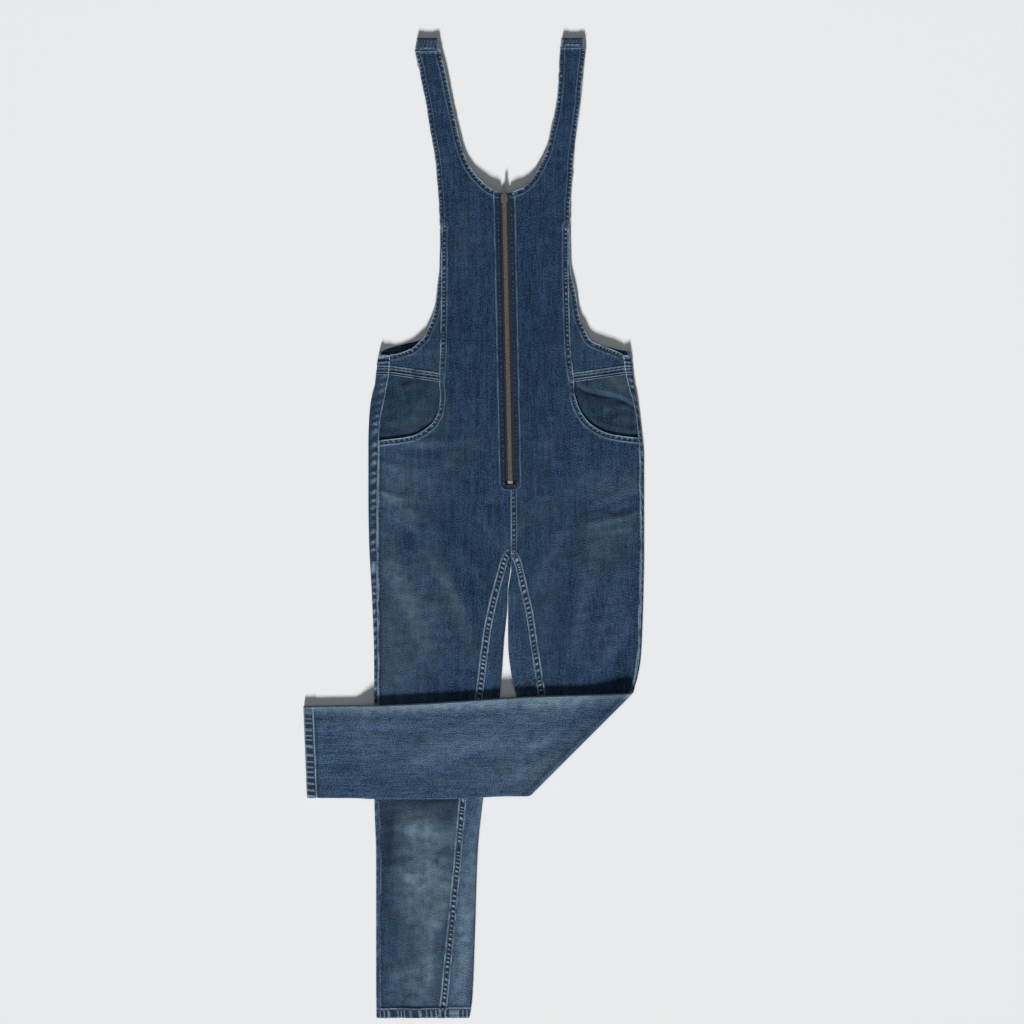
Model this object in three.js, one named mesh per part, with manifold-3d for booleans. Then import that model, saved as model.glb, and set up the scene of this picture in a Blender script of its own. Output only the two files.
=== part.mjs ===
// Denim dungarees with a front zip, laid flat on their back, one lower leg folded across the other at the knee.
// Millimetres. +Y runs from the hems to the shoulders and +Z is up. Right and left are the wearer's:
// the wearer's right has negative X. The tables are measured from the crotch's centre line and from the hem.
import * as THREE from "three";
import { mergeVertices } from "three/addons/utils/BufferGeometryUtils.js";
import Module from "manifold-3d";

// Cloth and how it lies
const cloth = 1.2; // denim wall
const rim = 2.5; // radius of a tube's rolled edge
const tubeTop = 2 * rim; // height of the front's outer face over the floor
const bibTop = 3.6; // the same where front and back lie on each other, open at the sides
const zipTop = 6; // the same beside the zip
const seamRaise = 0.6; // turned hems and felled seams stand this much proud
const gap = 0.3; // between pieces at a seam
const hemBand = 8.5; // turned hem round neck, straps and armholes
const fellBand = 9.5; // felled seam
const legHem = 15; // turned hem at the ankle

// Lengths along the garment
const shoulder = 1450;
const neckBottom = 1222;
const backNeckBottom = 1208;
const shoulderSeam = { right: 1434, left: 1439 };
const bibTaper = { low: 995, high: 1050 }; // where the tube flattens out into the bib
const princessTop = 1172;
const stripTop = { side: 966, centre: 955 };
const stripLow = { side: 952, centre: 941.5 };
const pocketDepth = 778; // the pocket's under-layer ends here, behind the front
const zipEnd = 783; // the fronts meet here
const zipMouth = 789.5; // lowest place where the zip shows
const crotch = { x: 7, y: 683 };

// Outer edge of the body and leg, and the side seam that lies on the front face near it
const sideRight = [
  { y: 988, edge: -186, seam: -171 },
  { y: 959, edge: -192, seam: -172.5 },
  { y: 929, edge: -195.5, seam: -177.5 },
  { y: 915, edge: -200, seam: -180 },
  { y: 885, edge: -203, seam: -186 },
  { y: 855, edge: -204, seam: -188 },
  { y: 767, edge: -204, seam: -190 },
  { y: 707, edge: -203, seam: -190.5 },
  { y: 619, edge: -198.5, seam: -190 },
  { y: 530, edge: -195.5, seam: -189 },
  { y: 323, edge: -195, seam: -189 },
  { y: 234, edge: -192.5, seam: -187 },
  { y: 56, edge: -192.5, seam: -187 },
  { y: 0, edge: -192, seam: -186.5 },
];
const sideLeft = [
  { y: 988, edge: 182, seam: 172.5 },
  { y: 959, edge: 187, seam: 176 },
  { y: 929, edge: 191, seam: 183 },
  { y: 915, edge: 194, seam: 187.5 },
  { y: 885, edge: 198, seam: 193 },
  { y: 855, edge: 201.5, seam: 196 },
  { y: 826, edge: 204, seam: 198.5 },
  { y: 678, edge: 204, seam: 200 },
  { y: 619, edge: 203, seam: 199 },
  { y: 559, edge: 201, seam: 197 },
  { y: 530, edge: 199.5, seam: 195.5 },
  { y: 500, edge: 194, seam: 190 },
  { y: 485, edge: 190, seam: 186 },
  { y: 327, edge: 184, seam: 180 },
  { y: 186, edge: 175, seam: 171 },
  { y: 102, edge: 171, seam: 167 },
  { y: -8, edge: 169, seam: 165 },
];

// Inner edge of each leg, and the inseam that lies on its front face
const innerRight = [
  { y: 683, edge: 6.8, seam: 6.8 },
  { y: 676, edge: 6.7, seam: 3 },
  { y: 662, edge: 6.3, seam: -1 },
  { y: 632, edge: 2, seam: -9 },
  { y: 599, edge: 1, seam: -17 },
  { y: 559, edge: -3, seam: -24 },
  { y: 479, edge: -9, seam: -34 },
  { y: 323, edge: -34, seam: -58 },
  { y: 234, edge: -43, seam: -66 },
  { y: 115, edge: -47, seam: -77 },
  { y: 18, edge: -51, seam: -87 },
  { y: 0, edge: -54, seam: -89 },
];
const innerLeft = [
  { y: 683, edge: 7.2, seam: 7.2 },
  { y: 676, edge: 7.3, seam: 11 },
  { y: 662, edge: 7.7, seam: 15 },
  { y: 632, edge: 3.2, seam: 21.5 },
  { y: 599, edge: 3, seam: 29 },
  { y: 559, edge: 3, seam: 35 },
  { y: 500, edge: 9, seam: 44 },
  { y: 479, edge: 15, seam: 47 },
  { y: 327, edge: 37, seam: 62 },
  { y: 186, edge: 32, seam: 61 },
  { y: -4, edge: 32.6, seam: 68 },
];

// Bib outline: strap and armhole outside, strap and neckline inside
const bibRight = [
  { y: 1450, out: -132, neck: -100 },
  { y: 1436, out: -135, neck: -98 },
  { y: 1396, out: -127, neck: -88 },
  { y: 1351, out: -118, neck: -79 },
  { y: 1307, out: -111, neck: -70 },
  { y: 1285, out: -107, neck: -64 },
  { y: 1262, out: -104, neck: -54 },
  { y: 1240, out: -102, neck: -37 },
  { y: 1228, out: -101, neck: -24 },
  { y: 1222, out: -100.5, neck: -12 },
  { y: 1196, out: -99, neck: 0 },
  { y: 1151, out: -98, neck: 0 },
  { y: 1107, out: -99, neck: 0 },
  { y: 1085, out: -102, neck: 0 },
  { y: 1063, out: -104, neck: 0 },
  { y: 1040, out: -108, neck: 0 },
  { y: 1018, out: -117, neck: 0 },
  { y: 1009, out: -121, neck: 0 },
  { y: 1001, out: -129, neck: 0 },
  { y: 992, out: -138, neck: 0 },
  { y: 987, out: -149, neck: 0 },
  { y: 983.5, out: -159, neck: 0 },
  { y: 981.5, out: -170.5, neck: 0 },
];
const bibLeft = [
  { y: 1450, out: 115, neck: 83 },
  { y: 1436, out: 117.5, neck: 80 },
  { y: 1396, out: 114, neck: 78 },
  { y: 1351, out: 110, neck: 74 },
  { y: 1307, out: 104, neck: 65 },
  { y: 1285, out: 101, neck: 60 },
  { y: 1262, out: 99, neck: 50 },
  { y: 1240, out: 98, neck: 36 },
  { y: 1228, out: 97, neck: 23 },
  { y: 1222, out: 96.5, neck: 10 },
  { y: 1196, out: 95, neck: 0 },
  { y: 1151, out: 95, neck: 0 },
  { y: 1107, out: 96, neck: 0 },
  { y: 1085, out: 101, neck: 0 },
  { y: 1063, out: 105, neck: 0 },
  { y: 1040, out: 108, neck: 0 },
  { y: 1018, out: 117, neck: 0 },
  { y: 1003, out: 125, neck: 0 },
  { y: 994, out: 145, neck: 0 },
  { y: 987, out: 164, neck: 0 },
  { y: 983, out: 172.5, neck: 0 },
];
// Princess seam, then the curved edge of the pocket down to the side seam
const princessRight = [
  { y: 1172, x: -95.8 },
  { y: 1107, x: -96 },
  { y: 983, x: -97.5 },
  { y: 938, x: -99 },
  { y: 922, x: -97.5 },
  { y: 899, x: -100 },
  { y: 882, x: -108 },
  { y: 872, x: -119 },
  { y: 863, x: -135 },
  { y: 858.5, x: -155 },
  { y: 856.5, x: -174 },
  { y: 855, x: -187.5 },
];
const princessLeft = [
  { y: 1172, x: 92.8 },
  { y: 1107, x: 93 },
  { y: 986, x: 96 },
  { y: 941, x: 101.5 },
  { y: 926, x: 102 },
  { y: 908, x: 106 },
  { y: 894, x: 113 },
  { y: 882, x: 122 },
  { y: 872, x: 136 },
  { y: 865, x: 153 },
  { y: 861, x: 175 },
  { y: 859, x: 195 },
];
// The back's armhole edge where it leaves the side seam, rolls under and runs on along the floor
const backArmRight = [
  { y: 1018, x: -116 },
  { y: 1010, x: -120 },
  { y: 1003, x: -131 },
  { y: 1000, x: -143 },
  { y: 997, x: -155 },
  { y: 993, x: -170 },
  { y: 989, x: -181 },
];
const backArmLeft = [
  { y: 1018, x: 116 },
  { y: 1008, x: 121 },
  { y: 1001, x: 130 },
  { y: 996, x: 142 },
  { y: 993, x: 155 },
  { y: 990, x: 166 },
  { y: 988, x: 176 },
];

// Largest folds of the front: a ridge at x, y that runs at the angle (degrees from +X) and fades at its ends
const frontFolds = [
  { x: -150, y: 640, angle: -65, length: 75, width: 14, height: 1.1 },
  { x: -105, y: 610, angle: -70, length: 90, width: 15, height: 1.2 },
  { x: -60, y: 720, angle: -60, length: 60, width: 13, height: -0.8 },
  { x: -155, y: 760, angle: -35, length: 40, width: 9, height: 1.1 },
  { x: -165, y: 815, angle: -15, length: 30, width: 7, height: 0.9 },
  { x: 150, y: 735, angle: 12, length: 48, width: 9, height: 1.2 },
  { x: 165, y: 775, angle: 20, length: 40, width: 8, height: 0.9 },
  { x: 120, y: 640, angle: 80, length: 70, width: 14, height: 1.0 },
  { x: 165, y: 560, angle: 60, length: 45, width: 13, height: 1.3 },
  { x: 80, y: 600, angle: 100, length: 60, width: 14, height: -0.8 },
  { x: 140, y: 925, angle: -35, length: 35, width: 8, height: -1.0 },
  { x: -140, y: 290, angle: 10, length: 45, width: 9, height: 1.1 },
  { x: -120, y: 262, angle: -12, length: 40, width: 9, height: -0.9 },
  { x: -150, y: 225, angle: 20, length: 38, width: 9, height: 1.0 },
  { x: -110, y: 110, angle: 80, length: 80, width: 13, height: 0.9 },
  { x: -160, y: 70, angle: 15, length: 35, width: 9, height: 0.8 },
];
// Folds of the back, on the left lower leg that lies face down after the knee is folded
const backFolds = [
  { x: 120, y: 240, angle: 88, length: 110, width: 14, height: 1.3 },
  { x: 75, y: 300, angle: 85, length: 70, width: 12, height: 1.1 },
  { x: 145, y: 120, angle: 92, length: 70, width: 12, height: 1.0 },
  { x: 90, y: 90, angle: 80, length: 60, width: 13, height: -0.9 },
  { x: 155, y: 330, angle: 70, length: 50, width: 11, height: 1.0 },
];
const foldFade = { from: 4, to: 24 }; // folds die out this far inside a rolled edge

// Knee fold: the crease runs at 45 degrees, where x - y has this value
const creaseLine = -293;
const foldHeight = 7.5; // height of the axis that the leg is rolled round
const foldReach = Math.PI * (foldHeight - rim); // cloth used by the half turn, measured at mid height
const restGap = 1.1; // clear height between the folded leg and what it lies on
const floorEdge = { x: -197, slope: 30 }; // the folded leg slopes down to the floor past the other leg
const sag = { x: 2, width: 20, depth: 1.6, top: 480, low: 330 }; // it dips a little between the legs

const root2 = Math.SQRT2;
const radians = Math.PI / 180;
const clamp = (v) => Math.min(1, Math.max(0, v));
const ease = (v) => clamp(v) ** 2 * (3 - 2 * clamp(v));
const mix = (a, b, t) => a + (b - a) * t;

// A smooth curve through one column of a table, by y, with no overshoot
function curve(table, column) {
  const rows = [...table].sort((a, b) => a.y - b.y);
  const slope = rows.slice(1).map((r, i) => (r[column] - rows[i][column]) / (r.y - rows[i].y));
  const tangent = rows.map((r, i) => {
    if (i === 0) return slope[0];
    if (i === rows.length - 1) return slope[i - 1];
    const product = slope[i - 1] * slope[i];
    return product <= 0 ? 0 : (2 * product) / (slope[i - 1] + slope[i]);
  });
  return (y) => {
    if (y <= rows[0].y) return rows[0][column];
    if (y >= rows.at(-1).y) return rows.at(-1)[column];
    const i = rows.findIndex((r) => r.y > y) - 1;
    const span = rows[i + 1].y - rows[i].y;
    const t = (y - rows[i].y) / span;
    const start = (1 + 2 * t) * (1 - t) ** 2 * rows[i][column] + t * (1 - t) ** 2 * span * tangent[i];
    const end = t * t * (3 - 2 * t) * rows[i + 1][column] - t * t * (1 - t) * span * tangent[i + 1];
    return start + end;
  };
}

// Everything that one half of the garment is drawn from; inward is the X direction towards the middle
function half(side, tables) {
  return {
    side,
    inward: side === "right" ? 1 : -1,
    edge: curve(tables.body, "edge"),
    seam: curve(tables.body, "seam"),
    innerEdge: curve(tables.inner, "edge"),
    inseam: curve(tables.inner, "seam"),
    bib: curve(tables.bib, "out"),
    neck: curve(tables.bib, "neck"),
    princess: curve(tables.princess, "x"),
    pocketEnd: tables.princess.at(-1).y,
  };
}
const right = half("right", {
  body: sideRight,
  inner: innerRight,
  bib: bibRight,
  princess: princessRight,
});
const left = half("left", {
  body: sideLeft,
  inner: innerLeft,
  bib: bibLeft,
  princess: princessLeft,
});

const zipAxis = (y) => -2.2 + (1203 - y) * 0.021; // the zip leans a little as it lies
const zipOpening = 7; // from the zip's axis to the front's edge

function foldSum(folds, x, y) {
  return folds.reduce((sum, f) => {
    const c = Math.cos(f.angle * radians);
    const s = Math.sin(f.angle * radians);
    const u = ((x - f.x) * c + (y - f.y) * s) / f.length;
    const v = ((y - f.y) * c - (x - f.x) * s) / f.width;
    return sum + f.height * Math.exp(-u * u - v * v);
  }, 0);
}

// Distance from a point to the nearest rolled edge of its half
function insideEdge(h, x, y) {
  const outer = (x - h.edge(y)) * h.inward;
  const inner = y < crotch.y ? (h.innerEdge(y) - x) * h.inward : Infinity;
  return Math.min(outer, inner);
}

// Height of the front's outer face, before seams are raised
function frontTop(h, x, y) {
  const base = mix(tubeTop, bibTop, ease((y - bibTaper.low) / (bibTaper.high - bibTaper.low)));
  const besideZip = 1 - ease((Math.abs(x - zipAxis(y)) - 18) / 34);
  const zip = (zipTop - base) * besideZip * ease((y - zipEnd + 30) / 30);
  const folded = h.side === "left" ? ease((x - y - creaseLine + 60) / 60) : 0;
  const covered = y < 492 && y > 322 ? 1 : 0; // smooth where the folded leg lies on it
  const fade = ease((insideEdge(h, x, y) - foldFade.from) / (foldFade.to - foldFade.from));
  const calm = clamp(1 - besideZip) * (1 - folded) * (1 - covered);
  return base + zip + foldSum(frontFolds, x, y) * fade * calm;
}

// A point of a wall has an outer and an inner place; u says how far across its row it is
const point = (u, outer, inner) => ({ u, outer, inner });

// Point on a rolled edge: angle 90 is its top and -90 its underside
function rollPoint(h, atInner, y, angle, u, raise = 0) {
  const away = atInner ? h.inward : -h.inward;
  const centre = (atInner ? h.innerEdge(y) : h.edge(y)) - away * rim;
  const c = Math.cos(angle * radians) * away;
  const s = Math.sin(angle * radians);
  const inside = rim - cloth;
  return point(
    u,
    [centre + (rim + raise) * c, y, rim + (rim + raise) * s],
    [centre + inside * c, y, rim + inside * s],
  );
}

// Point on the front face, which curves down where it comes to a rolled edge
function frontPoint(h, x, y, u, raise = 0) {
  const depth = insideEdge(h, x, y);
  if (y < 980 && depth < rim) {
    const inner = y < crotch.y && (h.innerEdge(y) - x) * h.inward < rim;
    return rollPoint(h, inner, y, Math.acos(1 - Math.max(depth, 0) / rim) / radians, u, raise);
  }
  const top = frontTop(h, x, y);
  return point(u, [x, y, top + raise], [x, y, top - cloth]);
}

// Point of the back, flat on the floor outside; a hem's turned cloth thickens it inwards
function backPoint(x, y, u, raise = 0) {
  const lift = x > 20 && x - y > creaseLine ? foldSum(backFolds, x, y) : 0;
  const fade = ease((x - y - creaseLine - 20) / 40);
  const calm = ease(insideEdge(left, x, y) / 20 - 0.25);
  const down = lift * fade * calm;
  return point(u, [x, y, -down], [x, y, cloth - down + raise]);
}

// The knee fold, as a bend of space: straight above the crease, rolled round it, then lying on what is below
function foldKnee([x, y, z]) {
  const s = (x - y - creaseLine) / root2 + foldHeight;
  if (s <= 0) return [x, y, z];
  const along = (x + y) / root2;
  const radius = foldHeight - z;
  const turn = Math.min(s, foldReach) / (foldHeight - rim);
  const past = -foldHeight + radius * Math.sin(turn) - Math.max(0, s - foldReach);
  const height = foldHeight - radius * Math.cos(turn);
  const newX = (root2 * (along + past) + creaseLine) / 2;
  const newY = (root2 * (along - past) - creaseLine) / 2;
  const onLeg = 2 * foldHeight - 2 * tubeTop - restGap;
  const toFloor = (tubeTop + restGap) * ease((floorEdge.x - newX) / floorEdge.slope);
  const dip = sag.depth * Math.exp(-(((newX - sag.x) / sag.width) ** 2))
    * ease((sag.top - newY) / (sag.top - sag.low));
  const settled = ease((s - 0.7 * foldReach) / 40);
  return [newX, newY, height - settled * (onLeg + toFloor + dip)];
}

const folded = (p) => {
  p.outer = foldKnee(p.outer);
  p.inner = foldKnee(p.inner);
  return p;
};

// Sews two rows together with triangles, in order of u
function sew(upper, lower, triangles) {
  let i = 0;
  let j = 0;
  while (i < upper.length - 1 || j < lower.length - 1) {
    const stepUpper =
      j === lower.length - 1 || (i < upper.length - 1 && upper[i + 1].u <= lower[j + 1].u + 1e-9);
    triangles.push(stepUpper ? [upper[i], lower[j], upper[i + 1]] : [upper[i], lower[j], lower[j + 1]]);
    if (stepUpper) i += 1;
    else j += 1;
  }
}

// Turns runs of rows into one closed wall; runs that share a row's points are one sheet
function wall(...runs) {
  const triangles = [];
  for (const rows of runs) rows.slice(1).forEach((row, i) => sew(rows[i], row, triangles));
  const points = [...new Set(triangles.flat())];
  const index = new Map(points.map((p, i) => [p, i]));
  const n = points.length;
  const faces = [];
  const edges = new Map();
  for (const t of triangles) {
    const [a, b, c] = t.map((p) => index.get(p));
    faces.push(a, b, c, a + n, c + n, b + n);
    for (const [p, q] of [[a, b], [b, c], [c, a]]) {
      if (!edges.delete(q + " " + p)) edges.set(p + " " + q, [p, q]);
    }
  }
  for (const [p, q] of edges.values()) faces.push(q, p, p + n, q, p + n, q + n);
  const places = [...points.map((p) => p.outer), ...points.map((p) => p.inner)];
  const geometry = new THREE.BufferGeometry();
  geometry.setAttribute("position", new THREE.Float32BufferAttribute(places.flat(), 3));
  geometry.setIndex(volume(places, faces) < 0 ? faces.toReversed() : faces);
  geometry.computeVertexNormals();
  return geometry;
}

function volume(places, faces) {
  let sum = 0;
  for (let i = 0; i < faces.length; i += 3) {
    const [a, b, c] = [0, 1, 2].map((k) => new THREE.Vector3(...places[faces[i + k]]));
    sum += a.dot(b.cross(c));
  }
  return sum;
}

// Rows of the half body and leg as pairs of heights: where each meets the outer and the inner edge
const level = (y) => ({ outer: y, inner: y });
const upperBody = [929, 905, 882, 858, 835, 812, 783, 755, 728, 705].map(level);
const rightLeg = [676, 655, 632, 599, 570, 540, 510, 480, 440, 400, 360, 320, 296, 272, 248, 222,
  190, 155, 120, 90, 62, 35, legHem + 1.5, legHem, 0].map(level);

// A 45 degree row beside the knee's crease, s after the roll begins
function creaseRow(s) {
  const offset = creaseLine + root2 * (s - foldHeight);
  const solve = (edge) => {
    let y = 450;
    for (let k = 0; k < 40; k += 1) y = edge(y) - offset;
    return y;
  };
  return { outer: solve(left.edge), inner: solve(left.innerEdge) };
}

function leftLegRows() {
  const between = (a, b, count, from) =>
    Array.from({ length: count }, (_, k) => {
      const t = (k + from) / count;
      return { outer: mix(a.outer, b.outer, t), inner: mix(a.inner, b.inner, t) };
    });
  const start = creaseRow(0);
  const end = creaseRow(foldReach);
  const hem = { outer: -7.4, inner: -2 };
  const hemTop = { outer: hem.outer + legHem, inner: hem.inner + legHem };
  const roll = [1, 2, 3, 4, 5].map((k) => creaseRow((k * foldReach) / 6));
  return [
    ...between(level(676), start, 13, 0),
    start,
    ...roll,
    end,
    ...between(end, hemTop, 14, 1),
    hem,
  ];
}
const leftLeg = leftLegRows();

// Height of a slanted row at any x
function slant(h, row) {
  const a = h.edge(row.outer);
  const b = row.outer < crotch.y ? h.innerEdge(row.inner) : crotch.x;
  return (x) => mix(row.outer, row.inner, (x - a) / (b - a));
}

// Where a slanted row crosses a seam
function crossing(line, seam) {
  let x = seam(line(0));
  for (let k = 0; k < 12; k += 1) x = seam(line(x));
  return [x, line(x)];
}

// Front of a leg and its hip, from the outer side to the inner one, with a raised band at both seams
function frontRow(h, row, outerX, innerX, bands) {
  const line = slant(h, row);
  const [x0] = crossing(line, outerX);
  const [x1] = crossing(line, innerX);
  const from = x0 + (h.inward * gap) / 2;
  const to = x1 - (h.inward * gap) / 2;
  const inner = [0, 0.25, 0.5, 0.75, 1];
  const first = from + h.inward * bands.outer;
  const last = to - h.inward * bands.inner;
  const step = 1.2 * h.inward;
  const raise = bands.raise ?? seamRaise;
  const at = (x, u, lift) => frontPoint(h, x, line(x), u, lift);
  return [
    at(from, 0, raise),
    at(first, 1, raise),
    ...inner.map((t) => at(mix(first + step, last - step, t), 2 + t, 0)),
    at(last, 4, raise),
    at(to, 5, raise),
  ];
}

// Where the front's own outline runs: bib edge, princess seam, pocket curve and side seam
function frontOutline(h, y) {
  if (y > princessTop) return h.bib(y) - (h.inward * gap) / 2;
  return y > h.pocketEnd ? h.princess(y) : h.seam(y);
}
function frontInner(h, y) {
  if (y > neckBottom) return h.neck(y);
  if (y > zipMouth) return zipAxis(y) - h.inward * zipOpening;
  return y > crotch.y ? crotch.x : h.inseam(y);
}

function makeFront(h, legRows) {
  const top = [shoulderSeam[h.side] - gap, 1415, 1396, 1373, 1351, 1329, 1307, 1285, 1273, 1262, 1250, 1240,
    1231, 1226, neckBottom, 1209, 1196, 1175, princessTop, 1140, 1107, 1075, 1045, 1015, 986, 973, 961, 949, 938];
  const pocket = [0.12, 0.28, 0.42, 0.54, 0.65, 0.76, 0.85, 0.91, 0.95, 0.98].map((t) =>
    mix(938, h.pocketEnd, t));
  const hips = [h.pocketEnd, 848, 830, 808, zipMouth + 0.1, zipEnd, 755, 728, 705, crotch.y + 1];
  const bandsAt = (y) => {
    if (y > neckBottom) return { outer: hemBand, inner: hemBand };
    if (y > h.pocketEnd) return { outer: hemBand, inner: fellBand };
    return { outer: 3, inner: y > zipEnd ? fellBand : 5 };
  };
  const upper = [...top, ...pocket, ...hips].map((y) =>
    frontRow(h, level(y), (v) => frontOutline(h, v), (v) => frontInner(h, v), bandsAt(y)));
  const lower = legRows.map((row) => {
    const lies = row.outer < 560 && h.side === "left"; // face down past the knee, so it stays flat
    const bands = { outer: 3, inner: 11, raise: lies ? 0 : seamRaise };
    return frontRow(h, row, h.seam, h.inseam, bands);
  });
  const rows = [...upper, ...lower];
  if (h.side === "left") rows.flat().forEach(folded);
  return wall(rows);
}

// Piece between princess seam, armhole and waist strip
function makeSideFront(h) {
  const armhole = [[983.5, 974], [987, 981], [992, 989], [1001, 1000], [1009, 1009], [1018, 1018],
    [1029, 1029], [1040, 1040], [1063, 1063], [1085, 1085], [1107, 1107], [1130, 1130], [1151, 1151],
    [princessTop - 4, princessTop - 4]];
  const bottom = { outer: stripTop.side + gap, inner: stripTop.centre + gap };
  const shoulderOfSeam = { outer: 981.5, inner: 967 };
  const rows = [bottom, shoulderOfSeam, ...armhole.map(([outer, inner]) => ({ outer, inner }))];
  const made = rows.map((row) => {
    const x0 = row.outer < 982 ? h.seam(row.outer) : h.bib(row.outer);
    const x1 = h.princess(row.inner);
    const from = x0 + (h.inward * gap) / 2;
    const to = x1 - (h.inward * gap) / 2;
    const band = Math.min(hemBand, Math.abs(to - from) * 0.4);
    const first = from + h.inward * band;
    const at = (x, u, lift) =>
      frontPoint(h, x, mix(row.outer, row.inner, (x - x0) / (x1 - x0)), u, lift);
    const hemmed = row.outer > shoulderOfSeam.outer ? seamRaise : 0;
    return [
      at(from, 0, hemmed),
      at(first, 1, hemmed),
      ...[0.1, 0.55, 1].map((t) => at(mix(first, to, t), 1 + t, 0)),
    ];
  });
  return wall(made.toReversed());
}

// Narrow strip from princess seam to side seam, with its two folded edges raised
function makeWaistStrip(h) {
  const rows = [0, 0.5, 1].map((t) => {
    const outer = mix(stripTop.side, stripLow.side, t);
    const inner = mix(stripTop.centre, stripLow.centre, t);
    const x0 = h.seam(outer) + (h.inward * gap) / 2;
    const x1 = h.princess(inner) - (h.inward * gap) / 2;
    return [0, 0.33, 0.67, 1].map((u) =>
      frontPoint(h, mix(x0, x1, u), mix(outer, inner, u), u, t === 0.5 ? 0.9 : seamRaise));
  });
  return wall(rows);
}

// Denim facing behind the pocket's curve, which runs on down as the pocket's under-layer
function makePocketBack(h) {
  const rows = [
    { outer: stripLow.side - gap, inner: stripLow.centre - gap },
    { outer: 925, inner: 925 },
    { outer: 895, inner: 895 },
    { outer: 868, inner: 868 },
    { outer: 850, inner: 850 },
    { outer: 810, inner: 810 },
    { outer: pocketDepth, inner: pocketDepth },
  ];
  const made = rows.map((row) => {
    const shown = row.outer > h.pocketEnd;
    const x0 = h.seam(row.outer) + h.inward * (shown ? gap / 2 : 5);
    const under = row.inner > 938 ? -gap / 2 : 9;
    const x1 = (row.inner > 938 ? h.princess(row.inner) : h.princess(938)) + h.inward * under;
    return [0, 0.08, 0.35, 0.65, 1].map((u) => {
      const x = mix(x0, x1, u);
      const y = mix(row.outer, row.inner, u);
      const sunk = frontPoint(h, x, y, u).inner;
      const shelf = Math.min(sunk[2], tubeTop - cloth) - gap;
      return point(u, [x, y, shelf], [x, y, shelf - cloth]);
    });
  });
  return wall(made);
}

const rollSteps = [90, 30, -30, -90];

// Part of the back that wraps round the outer edge from the side seam: u runs from 0 to 1
function wrap(h, y, raise = 0) {
  const seamX = h.seam(y) - (h.inward * gap) / 2;
  const depth = (seamX - h.edge(y)) * h.inward;
  const first = depth >= rim ? 90 : Math.acos(1 - depth / rim) / radians;
  const lifts = (angle) => (angle > 0 ? raise : 0);
  const roll = rollSteps.map((_, k) => mix(first, -90, k / (rollSteps.length - 1)));
  const points = roll.map((angle, k) => rollPoint(h, false, y, angle, 0.4 + k * 0.2, lifts(angle)));
  return depth > rim + 0.5 ? [frontPoint(h, seamX, y, 0, raise), ...points] : points;
}

function makeBackLeg(h, legRows) {
  const hips = [stripLow.side - gap, ...upperBody.map((row) => row.outer), crotch.y + 1].map((y) => {
    const from = h.edge(y) + h.inward * (rim + 6);
    const to = crotch.x - (h.inward * gap) / 2;
    const floor = [0, 0.25, 0.5, 0.75, 1].map((t) => backPoint(mix(from, to, t), y, 1.1 + t * 0.9));
    return [...wrap(h, y), ...floor];
  });
  const legs = legRows.map((row) => {
    const line = slant(h, row);
    const wrapped = wrap(h, row.outer).map((first, k) => {
      let made = first;
      for (let pass = 0; pass < 4; pass += 1) made = wrap(h, line(made.outer[0]))[k] ?? made;
      return made;
    });
    const from = h.edge(row.outer) + h.inward * (rim + 6);
    const to = h.innerEdge(row.inner) - h.inward * (rim + 6);
    const floor = [0, 0.25, 0.5, 0.75, 1].map((t) => {
      const x = mix(from, to, t);
      return backPoint(x, line(x), 1.1 + t * 0.8);
    });
    const inner = [-90, -30, 30, 90].map((angle, k) =>
      rollPoint(h, true, line(h.innerEdge(row.inner)), angle, 2.1 + k * 0.2));
    const [seamX, seamY] = crossing(line, h.inseam);
    const last = seamX + (h.inward * gap) / 2;
    const middle = mix(h.innerEdge(seamY) - h.inward * rim, last, 0.5);
    return [
      ...wrapped,
      ...floor,
      ...inner,
      frontPoint(h, middle, line(middle), 2.9),
      frontPoint(h, last, seamY, 3),
    ];
  });
  const rows = [...hips, ...legs];
  if (h.side === "left") rows.flat().forEach(folded);
  return wall(rows);
}

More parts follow.
